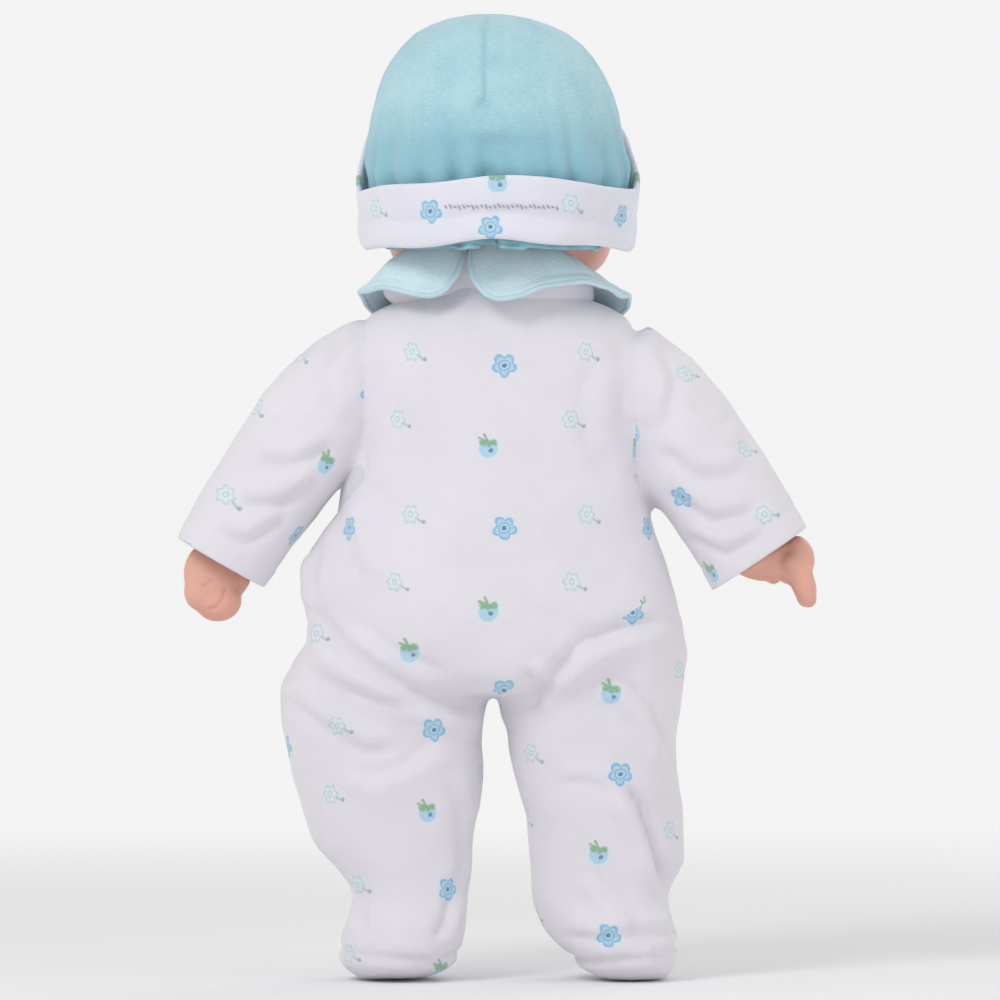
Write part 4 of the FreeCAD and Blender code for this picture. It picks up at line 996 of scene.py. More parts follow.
cloth = build_sleeper()
give(cloth["torso"], printed_jersey("print_torso", (1.5, 224.8), 0))
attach(cloth["torso"], "torso")
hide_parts("sleeper_body")
PRINT_AT = {
    "sleeve_left": ((17.5, -62.0), 8), "sleeve_right": ((-14.0, -45.0), -6),
    "leg_left": ((12.5, 92.4), 6), "leg_right": ((6.5, 76.2), -4),
}
for side in SIGN:
    sleeve_cloth, leg_cloth = cloth[f"sleeve_{side}"], cloth[f"leg_{side}"]
    sign = SIGN[side]
    give(sleeve_cloth, printed_jersey(f"print_sleeve_{side}", *PRINT_AT[f"sleeve_{side}"]))
    give(leg_cloth, printed_jersey(f"print_leg_{side}", *PRINT_AT[f"leg_{side}"]))
    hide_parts(f"sleeve_{side}")
    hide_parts(f"sleeper_leg_{side}", f"sleeper_sole_{side}")
    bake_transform(sleeve_cloth)
    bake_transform(leg_cloth)
    for piece, name, out in ((cloth["torso"], f"armhole_wall_{side}", 2.0), (sleeve_cloth, f"sleeve_wall_{side}", 3.0)):
        wall = opening_wall(piece, name, lambda p: sign * p.x > 45 and sign * p.x < 80 and p.z > 140,
                            (sign * out, 0, 0))
        give(wall, plain_cloth(name, (226, 224, 231)))
        if piece is sleeve_cloth:
            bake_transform(wall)
        else:
            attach(wall, "torso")


# ------------------------------------------------------------------ hat
# height, middle in X, half width, half depth of the crown
CROWN = [(276, 0.8, 46.6, 51.8), (286, 0.9, 46.6, 52.0), (292, 1.0, 46.6, 52.2), (299, 1.2, 46.8, 52.4),
         (308, 1.6, 46.6, 52.0), (317, 1.8, 45.4, 50.6), (325, 1.9, 43.2, 48.4), (332, 2.2, 40.4, 45.2),
         (338, 2.6, 36.9, 41.0), (343, 2.8, 32.6, 36.4), (347, 3.2, 28.0, 31.0), (350, 3.6, 22.2, 24.8),
         (352.4, 4.0, 15.4, 17.4), (353.8, 4.0, 8.0, 9.4)]
CUFF_BACK, CUFF_FRONT, CUFF_HIGH = 267.4, 307.0, 22.5


def cuff_low(x, y):
    """Lower edge of the cuff: level round the back, lifted a little at the nape, high in front."""
    rise = smoothstep(14.0, -50.0, y)
    nape = 1.8 * np.exp(-((x - 4) / 17.0) ** 2) * (y > 0)
    return CUFF_BACK + nape + (CUFF_FRONT - CUFF_BACK) * rise


def crown_at(z):
    table = np.array(CROWN)
    return [np.interp(z, table[:, 0], table[:, i]) for i in (1, 2, 3)]


def build_crown():
    """The dome of the hat: a closed shell, gathered into the cuff, with a dart at the back."""
    count, high = 288, 90
    verts, uvs = [], []
    heights = np.concatenate([np.linspace(266.0, 334.0, 56), 334 + 19.8 * np.sin(np.linspace(0, math.pi / 2, high - 55))[1:]])
    previous, walked = None, 0.0
    for z in heights:
        cx, rx, ry = crown_at(min(z, 353.8))
        if previous is not None:
            walked += math.hypot(z - previous[0], (rx + ry) / 2 - previous[1])
        previous = (z, (rx + ry) / 2)
        for j in range(count):
            a = 2 * math.pi * j / count
            s, c = math.sin(a), math.cos(a)
            x, y = cx - rx * s, ry * c
            back = max(c, 0.0)
            off = 0.0
            # gathers that fade upwards from the cuff
            top = cuff_low(x, y) + CUFF_HIGH
            up = z - top
            fade = math.exp(-max(up, 0.0) / 20.0)
            for at, wide, deep in ((0.62, 0.06, 1.5), (0.44, 0.05, 0.8), (0.10, 0.055, 1.0), (-0.08, 0.075, 1.9),
                                   (-0.34, 0.055, 1.6), (-0.62, 0.06, 1.0), (-0.95, 0.07, 1.1), (-1.25, 0.06, 1.5),
                                   (1.0, 0.07, 1.1), (1.35, 0.06, 1.4), (1.8, 0.08, 1.0), (-1.8, 0.08, 1.0),
                                   (2.3, 0.09, 1.1), (-2.4, 0.09, 1.1), (2.9, 0.1, 1.0)):
                turn_off = (a - at + math.pi) % (2 * math.pi) - math.pi
                off -= 2.2 * deep * fade * math.exp(-(turn_off / wide) ** 2)
                off += 0.9 * deep * fade * math.exp(-((turn_off - 2.1 * wide) / (1.5 * wide)) ** 2)
            # the fabric blouses out just over the cuff
            off += 1.3 * math.exp(-((up - 5.5) / 5.0) ** 2)
            # centre back dart and the pucker under its end
            dart_x = 5.6
            along = smoothstep(316.0, 322.0, z)
            off -= 1.5 * back * along * math.exp(-((x - dart_x) / 0.8) ** 2)
            off += 0.7 * back * along * math.exp(-((x - dart_x + 2.4) / 1.6) ** 2)
            pucker = math.exp(-(((x - dart_x - 0.8) / 2.6) ** 2 + ((z - 317.5) / 2.2) ** 2))
            off -= 2.6 * back * pucker
            off += 1.8 * back * math.exp(-(((x - 5) / 7.0) ** 2 + ((z - 309.5) / 3.4) ** 2))
            off -= 2.0 * back * math.exp(-(((x + 3) / 8.0) ** 2 + ((z - 303.0) / 3.6) ** 2))
            # side seam fold
            off += 0.9 * math.exp(-(((a - 1.22) % (2 * math.pi)) / 0.05) ** 2) * smoothstep(352, 300, z)
            off = max(off, -2.7)
            verts.append(np.array([x - off * s, y + off * c, z]))
            wrapped = a if a < math.pi else a - 2 * math.pi
            uvs.append((wrapped * (rx + ry) / 2 * MM, walked * MM))
    rows = len(heights)
    faces = []
    for i in range(rows - 1):
        for j in range(count):
            p, q = i * count + j, i * count + (j + 1) % count
            faces.append((p, p + count, q + count, q))
    tip = len(verts)
    verts.append(np.array([4.0, 0.0, 354.1]))
    uvs.append((0.0, walked * MM))
    for j in range(count):
        faces.append(((rows - 1) * count + j, tip, (rows - 1) * count + (j + 1) % count))
    verts = np.array(verts)
    verts += 0.25 * lumps(verts, 22.0, 8)[:, None] * np.array([[0.7, 0.7, 0.2]])
    # its hem just shows under the turned-up band at the nape
    hem = cuff_low(verts[:, 0], verts[:, 1]) + 1.6 - 2.8 * smoothstep(20.0, 44.0, verts[:, 1])
    verts[:, 2] = np.maximum(verts[:, 2], hem)
    obj = make_object("hat_crown_cloth", verts, faces, uvs)
    drop_flat_faces(obj)
    shell = obj.modifiers.new("thickness", "SOLIDIFY")
    shell.thickness = 1.5 * MM
    shell.offset = -1.0
    return obj


def drop_flat_faces(obj):
    """Removes the faces that were folded flat onto the lower edge."""
    with editing(obj) as bm:
        bmesh.ops.remove_doubles(bm, verts=bm.verts[:], dist=SAME_PLACE)
        flat = [f for f in bm.faces if f.calc_area() < 1e-10]
        bmesh.ops.delete(bm, geom=flat, context="FACES")
        bmesh.ops.recalc_face_normals(bm, faces=bm.faces[:])


def build_cuff():
    """The turned-up band: a flattened loop of doubled cloth, flared and a little wavy."""
    count = 360
    # across the band: share of its height, distance out from the crown
    profile = [(0.0, 0.9), (0.0, 1.9), (0.03, 2.8), (0.10, 3.3), (0.22, 3.4), (0.34, 3.2), (0.42, 3.0),
               (0.50, 3.1), (0.62, 3.3), (0.75, 3.5), (0.88, 3.7), (0.96, 3.7), (1.0, 3.2), (1.01, 2.4),
               (0.97, 1.5), (0.85, 1.0), (0.7, 0.8), (0.5, 0.7), (0.3, 0.6), (0.12, 0.6)]
    verts, uvs, faces = [], [], []
    for j in range(count):
        a = 2 * math.pi * j / count
        s, c = math.sin(a), math.cos(a)
        girth = 49.5 * a if a < math.pi else 49.5 * (a - 2 * math.pi)
        for k, (share, out) in enumerate(profile):
            base_x, base_y = 0.9 - 47.6 * s, 52.6 * c
            low = cuff_low(base_x, base_y)
            wave = 0.5 * math.sin(3 * a + 0.6) + 0.4 * math.sin(7 * a + 2)
            top_wave = 1.0 * math.sin(2 * a + 1.2) + 0.7 * math.sin(5 * a)
            z = low + share * (CUFF_HIGH + top_wave) + wave * (1 - share)
            flare = 0.9 * share
            # a soft fold runs along the band at the nape, and the cloth puckers at the sides
            sag = 1.8 * math.exp(-((share - 0.40) / 0.10) ** 2) * max(c, 0) * (1 if out > 2 else 0)
            ripple = 0.35 * math.sin(11 * a + 4 * share) + 0.25 * math.sin(19 * a - 5 * share)
            x = base_x - (out + flare - sag + ripple * (0.6 if out > 2 else 0.2)) * s
            y = base_y + (out + flare - sag + ripple * (0.6 if out > 2 else 0.2)) * c
            verts.append(np.array([x, y, z]))
            uvs.append((girth * MM, share * CUFF_HIGH * MM))
    n = len(profile)
    for j in range(count):
        for k in range(n):
            a, b = j * n + k, j * n + (k + 1) % n
            c2, d = ((j + 1) % count) * n + (k + 1) % n, ((j + 1) % count) * n + k
            faces.append((a, b, c2, d))
    obj = make_object("hat_cuff_cloth", verts, faces, uvs)
    face_outwards(obj, weld=False)
    smooth_once(obj)
    return obj


def build_stitches():
    """A short row of thread where the band is tacked at the nape."""
    shapes = []
    for i in range(26):
        x = 19.5 - i * 1.6
        z = 281.4 + 0.25 * math.sin(i * 1.7)
        a = math.asin((0.9 - x) / 51.2)
        y = 56.15 * math.cos(a) - 0.15
        tilt = 0.5 + 0.3 * math.sin(i * 2.3)
        shapes.append(finger([(x - 0.35, y, z - tilt), (x, y + 0.3, z), (x + 0.35, y, z + tilt)], [0.24, 0.28, 0.24], 8))
    return join_shapes("hat_stitches", shapes)


crown = build_crown()
# the crown gets painted shade below 0.300 m, over the cuff
give(crown, aqua_jersey("aqua_crown", shade_below=0.300))
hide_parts("hat_crown")
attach(crown, "hat")
cuff = build_cuff()
CUFF_PRINT = {"tile": (2 * math.pi * 0.0495 / 4, 0.040), "blue": [(-0.0245, 0.0125), (-0.0025, 0.0042)], "bud": [(0.0, 0.0205)],
              "pale": [(0.0265, 0.0145)]}
give(cuff, printed_jersey("print_cuff", (0.0, 0.0), 0, (226, 227, 236), CUFF_PRINT))
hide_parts("hat_cuff")
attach(cuff, "hat")
stitches = build_stitches()
give(stitches, plain_cloth("thread_grey", (168, 166, 190), 0.0003, 0.3))
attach(stitches, "hat")


# ------------------------------------------------------------------ collar
# turn from the back in degrees, neck edge (radius, height), outer edge (radius, height), droop
COLLARS = {
    "left": [(25.5, 30.2, 268.8, 30.6, 268.2, 0.0), (23.5, 30.2, 268.8, 34.6, 263.7, 0.2), (25, 30.4, 268.8, 37.6, 257.7, 0.5),
             (30.5, 31.0, 271.2, 41.0, 251.8, 0.9), (36, 33.2, 270.8, 43.4, 249.8, 1.0), (42, 36.0, 269.8, 45.2, 250.2, 0.9),
             (50, 38.6, 268.2, 47.2, 252.2, 0.7), (58, 40.8, 266.6, 48.4, 253.6, 0.5), (66, 44.2, 262.9, 50.0, 253.4, 0.4),
             (75, 45.6, 258.5, 51.6, 252.2, 0.4), (86, 43.0, 255.2, 50.6, 251.4, 0.5), (100, 36.0, 253.8, 49.6, 247.4, 0.7),
             (116, 29.5, 252.8, 47.0, 242.0, 0.7), (132, 27.0, 252.0, 43.6, 238.6, 0.6), (148, 26.6, 251.4, 41.6, 236.2, 0.4),
             (162, 26.7, 250.8, 40.0, 235.2, 0.4), (171, 26.8, 250.4, 38.0, 236.2, 0.3), (175, 27.0, 250.2, 34.0, 240.5, 0.2),
             (177, 27.0, 250.0, 30.0, 246.0, 0.0)],
    "right": [(-17.7, 30.4, 269.8, 31.3, 269.0, 0.0), (-17.2, 30.4, 269.8, 36.7, 262.2, 0.3), (-14.3, 30.6, 269.8, 38.6, 256.0, 0.6),
              (-8.4, 30.8, 269.8, 39.6, 251.2, 0.9), (0.6, 31.2, 269.8, 40.2, 248.4, 1.0), (9.2, 31.8, 269.2, 40.8, 249.4, 0.9),
              (20, 33.2, 268.2, 41.6, 253.2, 0.6), (33, 35.0, 268.6, 43.2, 255.2, 0.4), (45, 35.6, 265.0, 44.4, 255.0, 0.5),
              (56, 35.6, 261.6, 45.2, 253.8, 0.6), (71, 36.6, 257.8, 47.2, 251.0, 0.7), (84, 36.0, 255.0, 47.0, 250.4, 0.8),
              (100, 31.0, 253.8, 47.2, 246.6, 0.8), (118, 27.6, 252.8, 46.0, 241.4, 0.8), (138, 26.6, 251.8, 43.0, 237.8, 0.6),
              (156, 26.6, 251.0, 40.5, 235.8, 0.4), (168, 26.8, 250.4, 38.0, 236.4, 0.3), (174, 27.0, 250.2, 34.0, 240.5, 0.2),
              (176.5, 27.0, 250.0, 30.0, 246.0, 0.0)],
}
COLLAR_THICK = 1.3


def collar_sheet(side):
    """The collar half as a grid of points, from its neck edge to its outer edge."""
    sign = SIGN[side]
    table = np.array(COLLARS[side], dtype=float)
    length = np.concatenate([[0], np.cumsum(np.hypot(
        np.diff(table[:, 3] * np.radians(table[:, 0])), np.diff(table[:, 4])) + 0.5)])
    along = np.linspace(0, length[-1], 110)
    columns = [np.interp(along, length, table[:, i]) for i in range(6)]
    for i in range(1, 6):
        for _ in range(3):
            c = columns[i]
            c[1:-1] = (c[:-2] + 2 * c[1:-1] + c[2:]) / 4
    grid = []
    for turn_deg, r0, z0, r1, z1, droop in zip(*columns):
        a = math.radians(turn_deg)
        out = np.array([sign * math.sin(a), math.cos(a)])
        row = []
        for k in range(15):
            t = k / 14
            r = r0 + (r1 - r0) * (t ** 0.85)
            z = z0 + (z1 - z0) * t + droop * 4 * t * (1 - t)
            ripple = 0.5 * t * math.sin(turn_deg * 0.16 + side.count("e")) + 0.3 * t * math.sin(turn_deg * 0.33)
            row.append(np.array([out[0] * (r + ripple), out[1] * (r + ripple) * 0.94, z + ripple * 0.6]))
        grid.append(row)
    return np.array(grid)


def sheet_normals(grid):
    du = np.gradient(grid, axis=0)
    dv = np.gradient(grid, axis=1)
    n = np.cross(du, dv)
    return n / np.maximum(np.linalg.norm(n, axis=2, keepdims=True), 1e-9)


def build_collar(side):
    """The collar half with its rolled edge and a stitched line inside it, and the edge's piping."""
    grid = collar_sheet(side)
    n = sheet_normals(grid)
    if n[40, 7, 2] < 0:
        n = -n
    rows, cols = grid.shape[:2]
    edge_dist = np.min([np.linalg.norm(grid - edge, axis=2) for edge in (grid[:, -1:], grid[:1], grid[-1:])], axis=0)
    groove = 0.45 * np.exp(-((edge_dist - 3.3) / 0.6) ** 2)
    puff = 0.35 * np.exp(-((edge_dist - 1.4) / 1.2) ** 2)
    top = grid + n * (COLLAR_THICK / 2 - groove + puff)[..., None]
    under = grid - n * (COLLAR_THICK / 2)
    verts = np.concatenate([top.reshape(-1, 3), under.reshape(-1, 3)])
    run = np.cumsum(np.concatenate([[0], np.linalg.norm(np.diff(grid[:, 7], axis=0), axis=1)]))
    uv = np.stack([np.repeat(run[:, None], cols, 1), np.linalg.norm(grid - grid[:, :1], axis=2)], axis=2) * MM
    uvs = np.concatenate([uv.reshape(-1, 2), uv.reshape(-1, 2)])
    obj = make_object(f"collar_cloth_{side}", verts, slab_faces(rows, cols), uvs)
    face_outwards(obj, weld=False)
    smooth_once(obj)
    edge = np.concatenate([grid[0, 2:-1], grid[:, -1], grid[-1, -2:1:-1]])
    thin = [edge[0]]
    for q in edge[1:]:
        if np.linalg.norm(q - thin[-1]) > 0.9:
            thin.append(q)
    piping_v, piping_f = finger(thin, [1.05] * len(thin), 12)
    piping = make_object(f"collar_piping_{side}", piping_v, piping_f,
                         [(i * 0.0004, (i % 12) * 0.0005) for i in range(len(piping_v))])
    return obj, piping


def build_neck_band():
    """The sleeper's neck band, which stands inside the collar and shows between its halves."""
    rows, cols = 121, 9
    outer, inner, uvs = [], [], []
    for i in range(rows):
        turn_deg = -180 + 360 * i / (rows - 1)
        left, right = (np.array(COLLARS[s]) for s in ("left", "right"))
        table = left if turn_deg > 8 else right
        away = turn_deg if turn_deg > 8 else -turn_deg
        r0 = np.interp(away, table[:, 0], table[:, 1])
        z0 = np.interp(away, table[:, 0], table[:, 2])
        a = math.radians(turn_deg)
        for k in range(cols):
            t = k / (cols - 1)
            for points, inset in ((outer, 1.4), (inner, 2.6)):
                r = 25.0 + (r0 - 25.0 - inset) * min(1.0, t * 1.4)
                points.append((r * math.sin(a), r * math.cos(a) * 0.94, 238.0 + (z0 - 1.6 - 238.0) * t))
            uvs.append((a * 28 * MM, t * 0.02))
    count, faces = rows * cols, []
    for i in range(rows - 1):
        for k in range(cols - 1):
            a = i * cols + k
            faces.append((a, a + cols, a + cols + 1, a + 1))
            faces.append((a + count, a + 1 + count, a + cols + 1 + count, a + cols + count))
        for k in (0, cols - 1):
            a = i * cols + k
            faces.append((a, a + cols, a + cols + count, a + count) if k else (a, a + count, a + cols + count, a + cols))
    obj = make_object("neck_band", outer + inner, faces, uvs + uvs)
    face_outwards(obj)
    return obj


band = build_neck_band()
give(band, printed_jersey("print_band", (200.0, 200.0), 0))
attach(band, "torso")
for side in SIGN:
    half, piping = build_collar(side)
    give(half, aqua_jersey(f"aqua_collar_{side}", (216, 238, 245), (198, 228, 238), 0.4))
    give(piping, aqua_jersey(f"aqua_piping_{side}", (206, 230, 239), (184, 217, 229), 0.3))
    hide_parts(f"collar_{side}")
    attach(half, "torso")
    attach(piping, "torso")


# ------------------------------------------------------------------ head
EYE = {s: node_box(f"eyeball_{s}") for s in SIGN}
EYE_R = 10.0
LIDS_OPEN, LIDS_WIDER = 6.0, 1.14           # half height of the lids' opening, and its width over its height


def eye_middle(side):
    low, high = EYE[side]
    return np.array([(low[0] + high[0]) / 2, low[1] + EYE_R, (low[2] + high[2]) / 2])


def build_head():
    """A plain baby head: round cheeks, small nose and lips, ears, and a short neck."""
    s = [ball((0, 1, 308), (42.0, 47.2, 41.6), 64, 40),
         ball((0, -10, 284), (41.5, 37.0, 26.5), 56, 34),
         ball((0, -14, 270), (33.0, 30.5, 19.0), 48, 30),
         ball((0, -38.0, 258.5), (9.5, 7.5, 6.5), 32, 20),
         ball((0, -20, 262), (20, 20, 14), 32, 20),
         ball((0, -44.5, 300), (18, 5.0, 16), 32, 20)]
    for sign in (1, -1):
        s.append(ball((sign * 23.5, -27.5, 274), (16.5, 17.0, 14.5), 36, 24))
        s.append(ball((sign * 28.5, -16, 272), (13.0, 17.0, 14), 36, 24))
        # ear: its hollow is cut in below
        v, f = ball((0, 0, 0), (2.6, 6.2, 9.6), 32, 20)
        v = [q + np.array([sign * 42.4, 5, 286]) for q in turn(v, np.zeros(3), (-8, 0, sign * -16))]
        s.append((v, f))
    neck = [level_ring(z, 0, 0, r, r, 2.0) for z, r in
            ((236.6, 22.6), (237.2, 23.4), (239.8, 23.4), (240.4, 22.0), (240.8, 18.4), (245.6, 18.4),
             (246.4, 20.2), (252, 20.6), (262, 23.0), (274, 27.0))]
    s.append(ring_tube(neck))
    obj = join_shapes("head_vinyl", s)
    fuse_skin(obj, 1.25)
    p = get_points(obj)
    keep = smoothstep(247.5, 250.5, p[:, 2])
    relax(obj, 14, 0.6, keep)
    details = [ball((0, -48.6, 284.4), (4.3, 4.6, 3.7), 28, 18),
               ball((3.1, -46.6, 283.2), (2.6, 3.0, 2.4), 20, 14), ball((-3.1, -46.6, 283.2), (2.6, 3.0, 2.4), 20, 14)]
    base = join_shapes("features", details)
    merged = join_objects("head_vinyl", [obj, base])
    fuse_skin(merged, 1.0)
    p = get_points(merged)
    relax(merged, 5, 0.5, smoothstep(247.5, 250.5, p[:, 2]))
    p, n = get_points(merged), get_normals(merged)
    push = np.zeros(len(p))
    front = smoothstep(-0.1, -0.6, n[:, 1])

    def spot(x, z, wx, wz):
        return np.exp(-(((p[:, 0] - x) / wx) ** 2 + ((p[:, 2] - z) / wz) ** 2)) * front
    # lips, the groove over them, the dimple under them, nostrils
    mouth = 272.2 + 0.012 * p[:, 0] ** 2
    wide = np.exp(-(p[:, 0] / 6.6) ** 4)
    push += 1.75 * front * wide * np.exp(-((p[:, 2] - mouth - 1.5) / 1.25) ** 2) * (1 - 0.35 * np.exp(-(p[:, 0] / 1.1) ** 2))
    push += 2.0 * front * np.exp(-(p[:, 0] / 5.4) ** 4) * np.exp(-((p[:, 2] - mouth + 1.7) / 1.4) ** 2)
    push -= 1.0 * front * np.exp(-(p[:, 0] / 7.6) ** 4) * np.exp(-((p[:, 2] - mouth) / 0.55) ** 2)
    push -= 0.9 * spot(7.6, 272.9, 1.5, 1.5) + 0.9 * spot(-7.6, 272.9, 1.5, 1.5)
    push -= 0.55 * spot(0, 277.8, 1.3, 2.2)
    push -= 0.9 * spot(0, 266.6, 6.0, 2.2)
    for sign in (1, -1):
        push -= 0.9 * spot(sign * 2.3, 281.6, 1.0, 0.8)
        # eye sockets, lids and a soft brow
        ex, _, ez = eye_middle("left") * np.array([sign, 1, 1])
        away = np.hypot((p[:, 0] - ex) / 1.12, p[:, 2] - ez)
        push -= 1.3 * front * np.exp(-((away - 9.5) / 4.5) ** 2)
        push += 1.5 * front * np.exp(-((away - 7.4) / 1.15) ** 2)
        push -= 0.55 * front * np.exp(-((away - 10.3) / 0.8) ** 2) * (p[:, 2] > ez + 2)
        push += 0.9 * spot(sign * 17, 309, 10, 3.0)
        # ear hollow
        ear = np.exp(-(((p[:, 1] - 4.2) / 3.0) ** 2 + ((p[:, 2] - 286.5) / 5.4) ** 2))
        push -= 2.0 * ear * (sign * p[:, 0] > 40.3) * smoothstep(0.2, 0.7, sign * n[:, 0])
    # shallow moulded locks over the scalp
    scalp = hair_mask(p)
    swirl = np.arctan2(p[:, 0] - 3, p[:, 1] - 16) * 9 + (p[:, 2] - 300) * 0.35 + 1.4 * np.sin(p[:, 2] * 0.22 + p[:, 0] * 0.12)
    push += scalp * (0.28 * np.sin(swirl * 2.0) + 0.12 * np.sin(swirl * 5.3 + 1))
    set_points(merged, p + n * push[:, None])
    cut_eye_holes(merged)
    return merged


def hair_mask(p):
    """1 over the scalp, 0 over the face, ears and nape."""
    line = 318.0 - 26.0 * smoothstep(-46, 10, p[:, 1]) - 12 * smoothstep(10, 46, p[:, 1])
    return smoothstep(-1.0, 2.0, p[:, 2] - line)


def join_objects(name, objs):
    verts, faces = [], []
    for o in objs:
        base = len(verts)
        verts += list(get_points(o))
        faces += [tuple(i + base for i in f.vertices) for f in o.data.polygons]
        bpy.data.objects.remove(o)
    return make_object(name, verts, faces)


def cut_eye_holes(obj):
    """Opens the lids round each eye and turns their edges inwards."""
    def own_eye(v):
        return Vector(eye_middle("left" if v.co.x > 0 else "right")) * MM

    with editing(obj) as bm:
        for side in SIGN:
            c = Vector(eye_middle(side)) * MM
            gone = [v for v in bm.verts if v.co.y < c.y
                    and math.hypot((v.co.x - c.x) / LIDS_WIDER, v.co.z - c.z) < (LIDS_OPEN - 0.3) * MM]
            bmesh.ops.delete(bm, geom=gone, context="VERTS")
        edges = [e for e in bm.edges if e.is_boundary]
        for v in {v for e in edges for v in e.verts}:
            c = own_eye(v)
            dx, dz = (v.co.x - c.x) / LIDS_WIDER, v.co.z - c.z
            k = LIDS_OPEN * MM / math.hypot(dx, dz)
            v.co.x, v.co.z = c.x + dx * k * LIDS_WIDER, c.z + dz * k
        for step in (0.7, 1.6, 2.6):
            verts, edges = extrude_rim(bm, edges)
            for v in verts:
                v.co.y += step * MM * 0.6
                c = own_eye(v)
                out = Vector((v.co.x - c.x, 0, v.co.z - c.z))
                v.co += out.normalized() * (0.05 if step < 1 else 1.0) * MM
        bmesh.ops.recalc_face_normals(bm, faces=bm.faces[:])
    for poly in obj.data.polygons:
        poly.use_smooth = True


def head_material():
    m = Nodes("vinyl_head")
    p = m.place()
    x, y, z = m.split(p)
    tone = m.noise(p, 35.0, 2.0)
    color = m.mix(tone, srgb(226, 170, 152), srgb(233, 182, 165))

    def blob(cx, cy, cz, wide, deep, high):
        q = m.vec("MULTIPLY", m.vec("SUBTRACT", p, (cx * MM, cy * MM, cz * MM)), (1 / (wide * MM), 1 / (deep * MM), 1 / (high * MM)))
        return m.vec("LENGTH", q)
    ax = m.math("ABSOLUTE", x)
    for cx in (1, -1):
        color = m.mix(m.mul(m.step(blob(cx * 28, -38, 276, 13, 16, 11), 1.0, 0.1), 0.45), color, srgb(222, 128, 122))
    nose = m.mul(m.step(blob(0, -53, 284, 6, 6, 5), 1.0, 0.2), 0.3)
    color = m.mix(nose, color, srgb(224, 136, 126))
    # lips, in mm from the mouth's line
    mouth = m.add(272.2, m.mul(m.mul(m.mul(x, x), 1e6), 0.012))
    rise = m.sub(m.mul(z, 1000.0), mouth)
    xx = m.mul(ax, 1000.0)
    upper = m.sub(3.1, m.mul(m.mul(xx, xx), 0.068))
    lower = m.sub(m.mul(m.mul(xx, xx), 0.085), 3.6)
    lips = m.mul(m.step(m.sub(rise, upper), 0.35, -0.35), m.step(m.sub(rise, lower), -0.35, 0.35))
    lips = m.mul(lips, m.step(y, -0.036, -0.040))
    color = m.mix(m.mul(lips, 0.8), color, srgb(206, 104, 106))
    line = m.mul(m.step(m.math("ABSOLUTE", rise), 0.5, 0.15), m.mul(m.step(xx, 8.0, 6.8), m.step(y, -0.036, -0.040)))
    color = m.mix(m.mul(line, 0.7), color, srgb(150, 62, 66))
    # brows: short soft arches
    ex, _, ez = eye_middle("left")
    from_eye = m.sub(xx, ex)
    arch = m.sub(m.sub(m.mul(z, 1000.0), ez + 12.6),
                  m.mul(m.mul(from_eye, from_eye), -0.022))
    brow = m.mul(m.step(m.math("ABSOLUTE", arch), 1.0, 0.5), m.step(m.math("ABSOLUTE", from_eye), 7.5, 5.0))
    brow = m.mul(brow, m.step(y, -0.028, -0.033))
    hairs = m.noise(m.vec("MULTIPLY", p, (3.0, 1.0, 1.0)), 700.0, 2.0)
    color = m.mix(m.mul(m.mul(brow, hairs), 0.95, clamp=True), color, srgb(136, 96, 72))
    # painted hair over the moulded locks
    yy, zz = m.mul(y, 1000.0), m.mul(z, 1000.0)
    drop = m.mul(m.step(yy, -46.0, 10.0), 26.0)
    drop = m.add(drop, m.mul(m.step(yy, 10.0, 46.0), 12.0))
    over = m.add(m.sub(zz, 318.0), drop)
    strands = m.noise(m.vec("MULTIPLY", p, (1.0, 1.0, 0.35)), 520.0, 4.0)
    hair = m.step(m.add(over, m.mul(m.sub(strands, 0.5), 7.0)), -1.5, 4.0)
    brown = m.mix(strands, srgb(132, 92, 62), srgb(176, 130, 92))
    color = m.mix(m.mul(hair, 0.85), color, brown)
    m.plug(m.shader.inputs["Base Color"], color)
    m.shader.inputs["Roughness"].default_value = 0.46
    m.shader.inputs["Specular IOR Level"].default_value = 0.35
    m.shader.inputs["Subsurface Weight"].default_value = 0.15
    m.shader.inputs["Subsurface Radius"].default_value = (0.004, 0.0015, 0.0008)
    m.shader.inputs["Subsurface Scale"].default_value = 1.0
    m.bump(m.noise(p, 1400.0, 2.0), 0.1, 0.0002)
    return m.mat


def build_eye(side):
    """A ball eye: white with an iris in front and a skin-coloured lid on its upper part."""
    c = eye_middle(side)
    verts, faces = ball((0, 0, 0), (EYE_R - 0.15,) * 3, 64, 48)
    return make_object(f"eye_{side}", [np.array(v) + c for v in verts], faces)


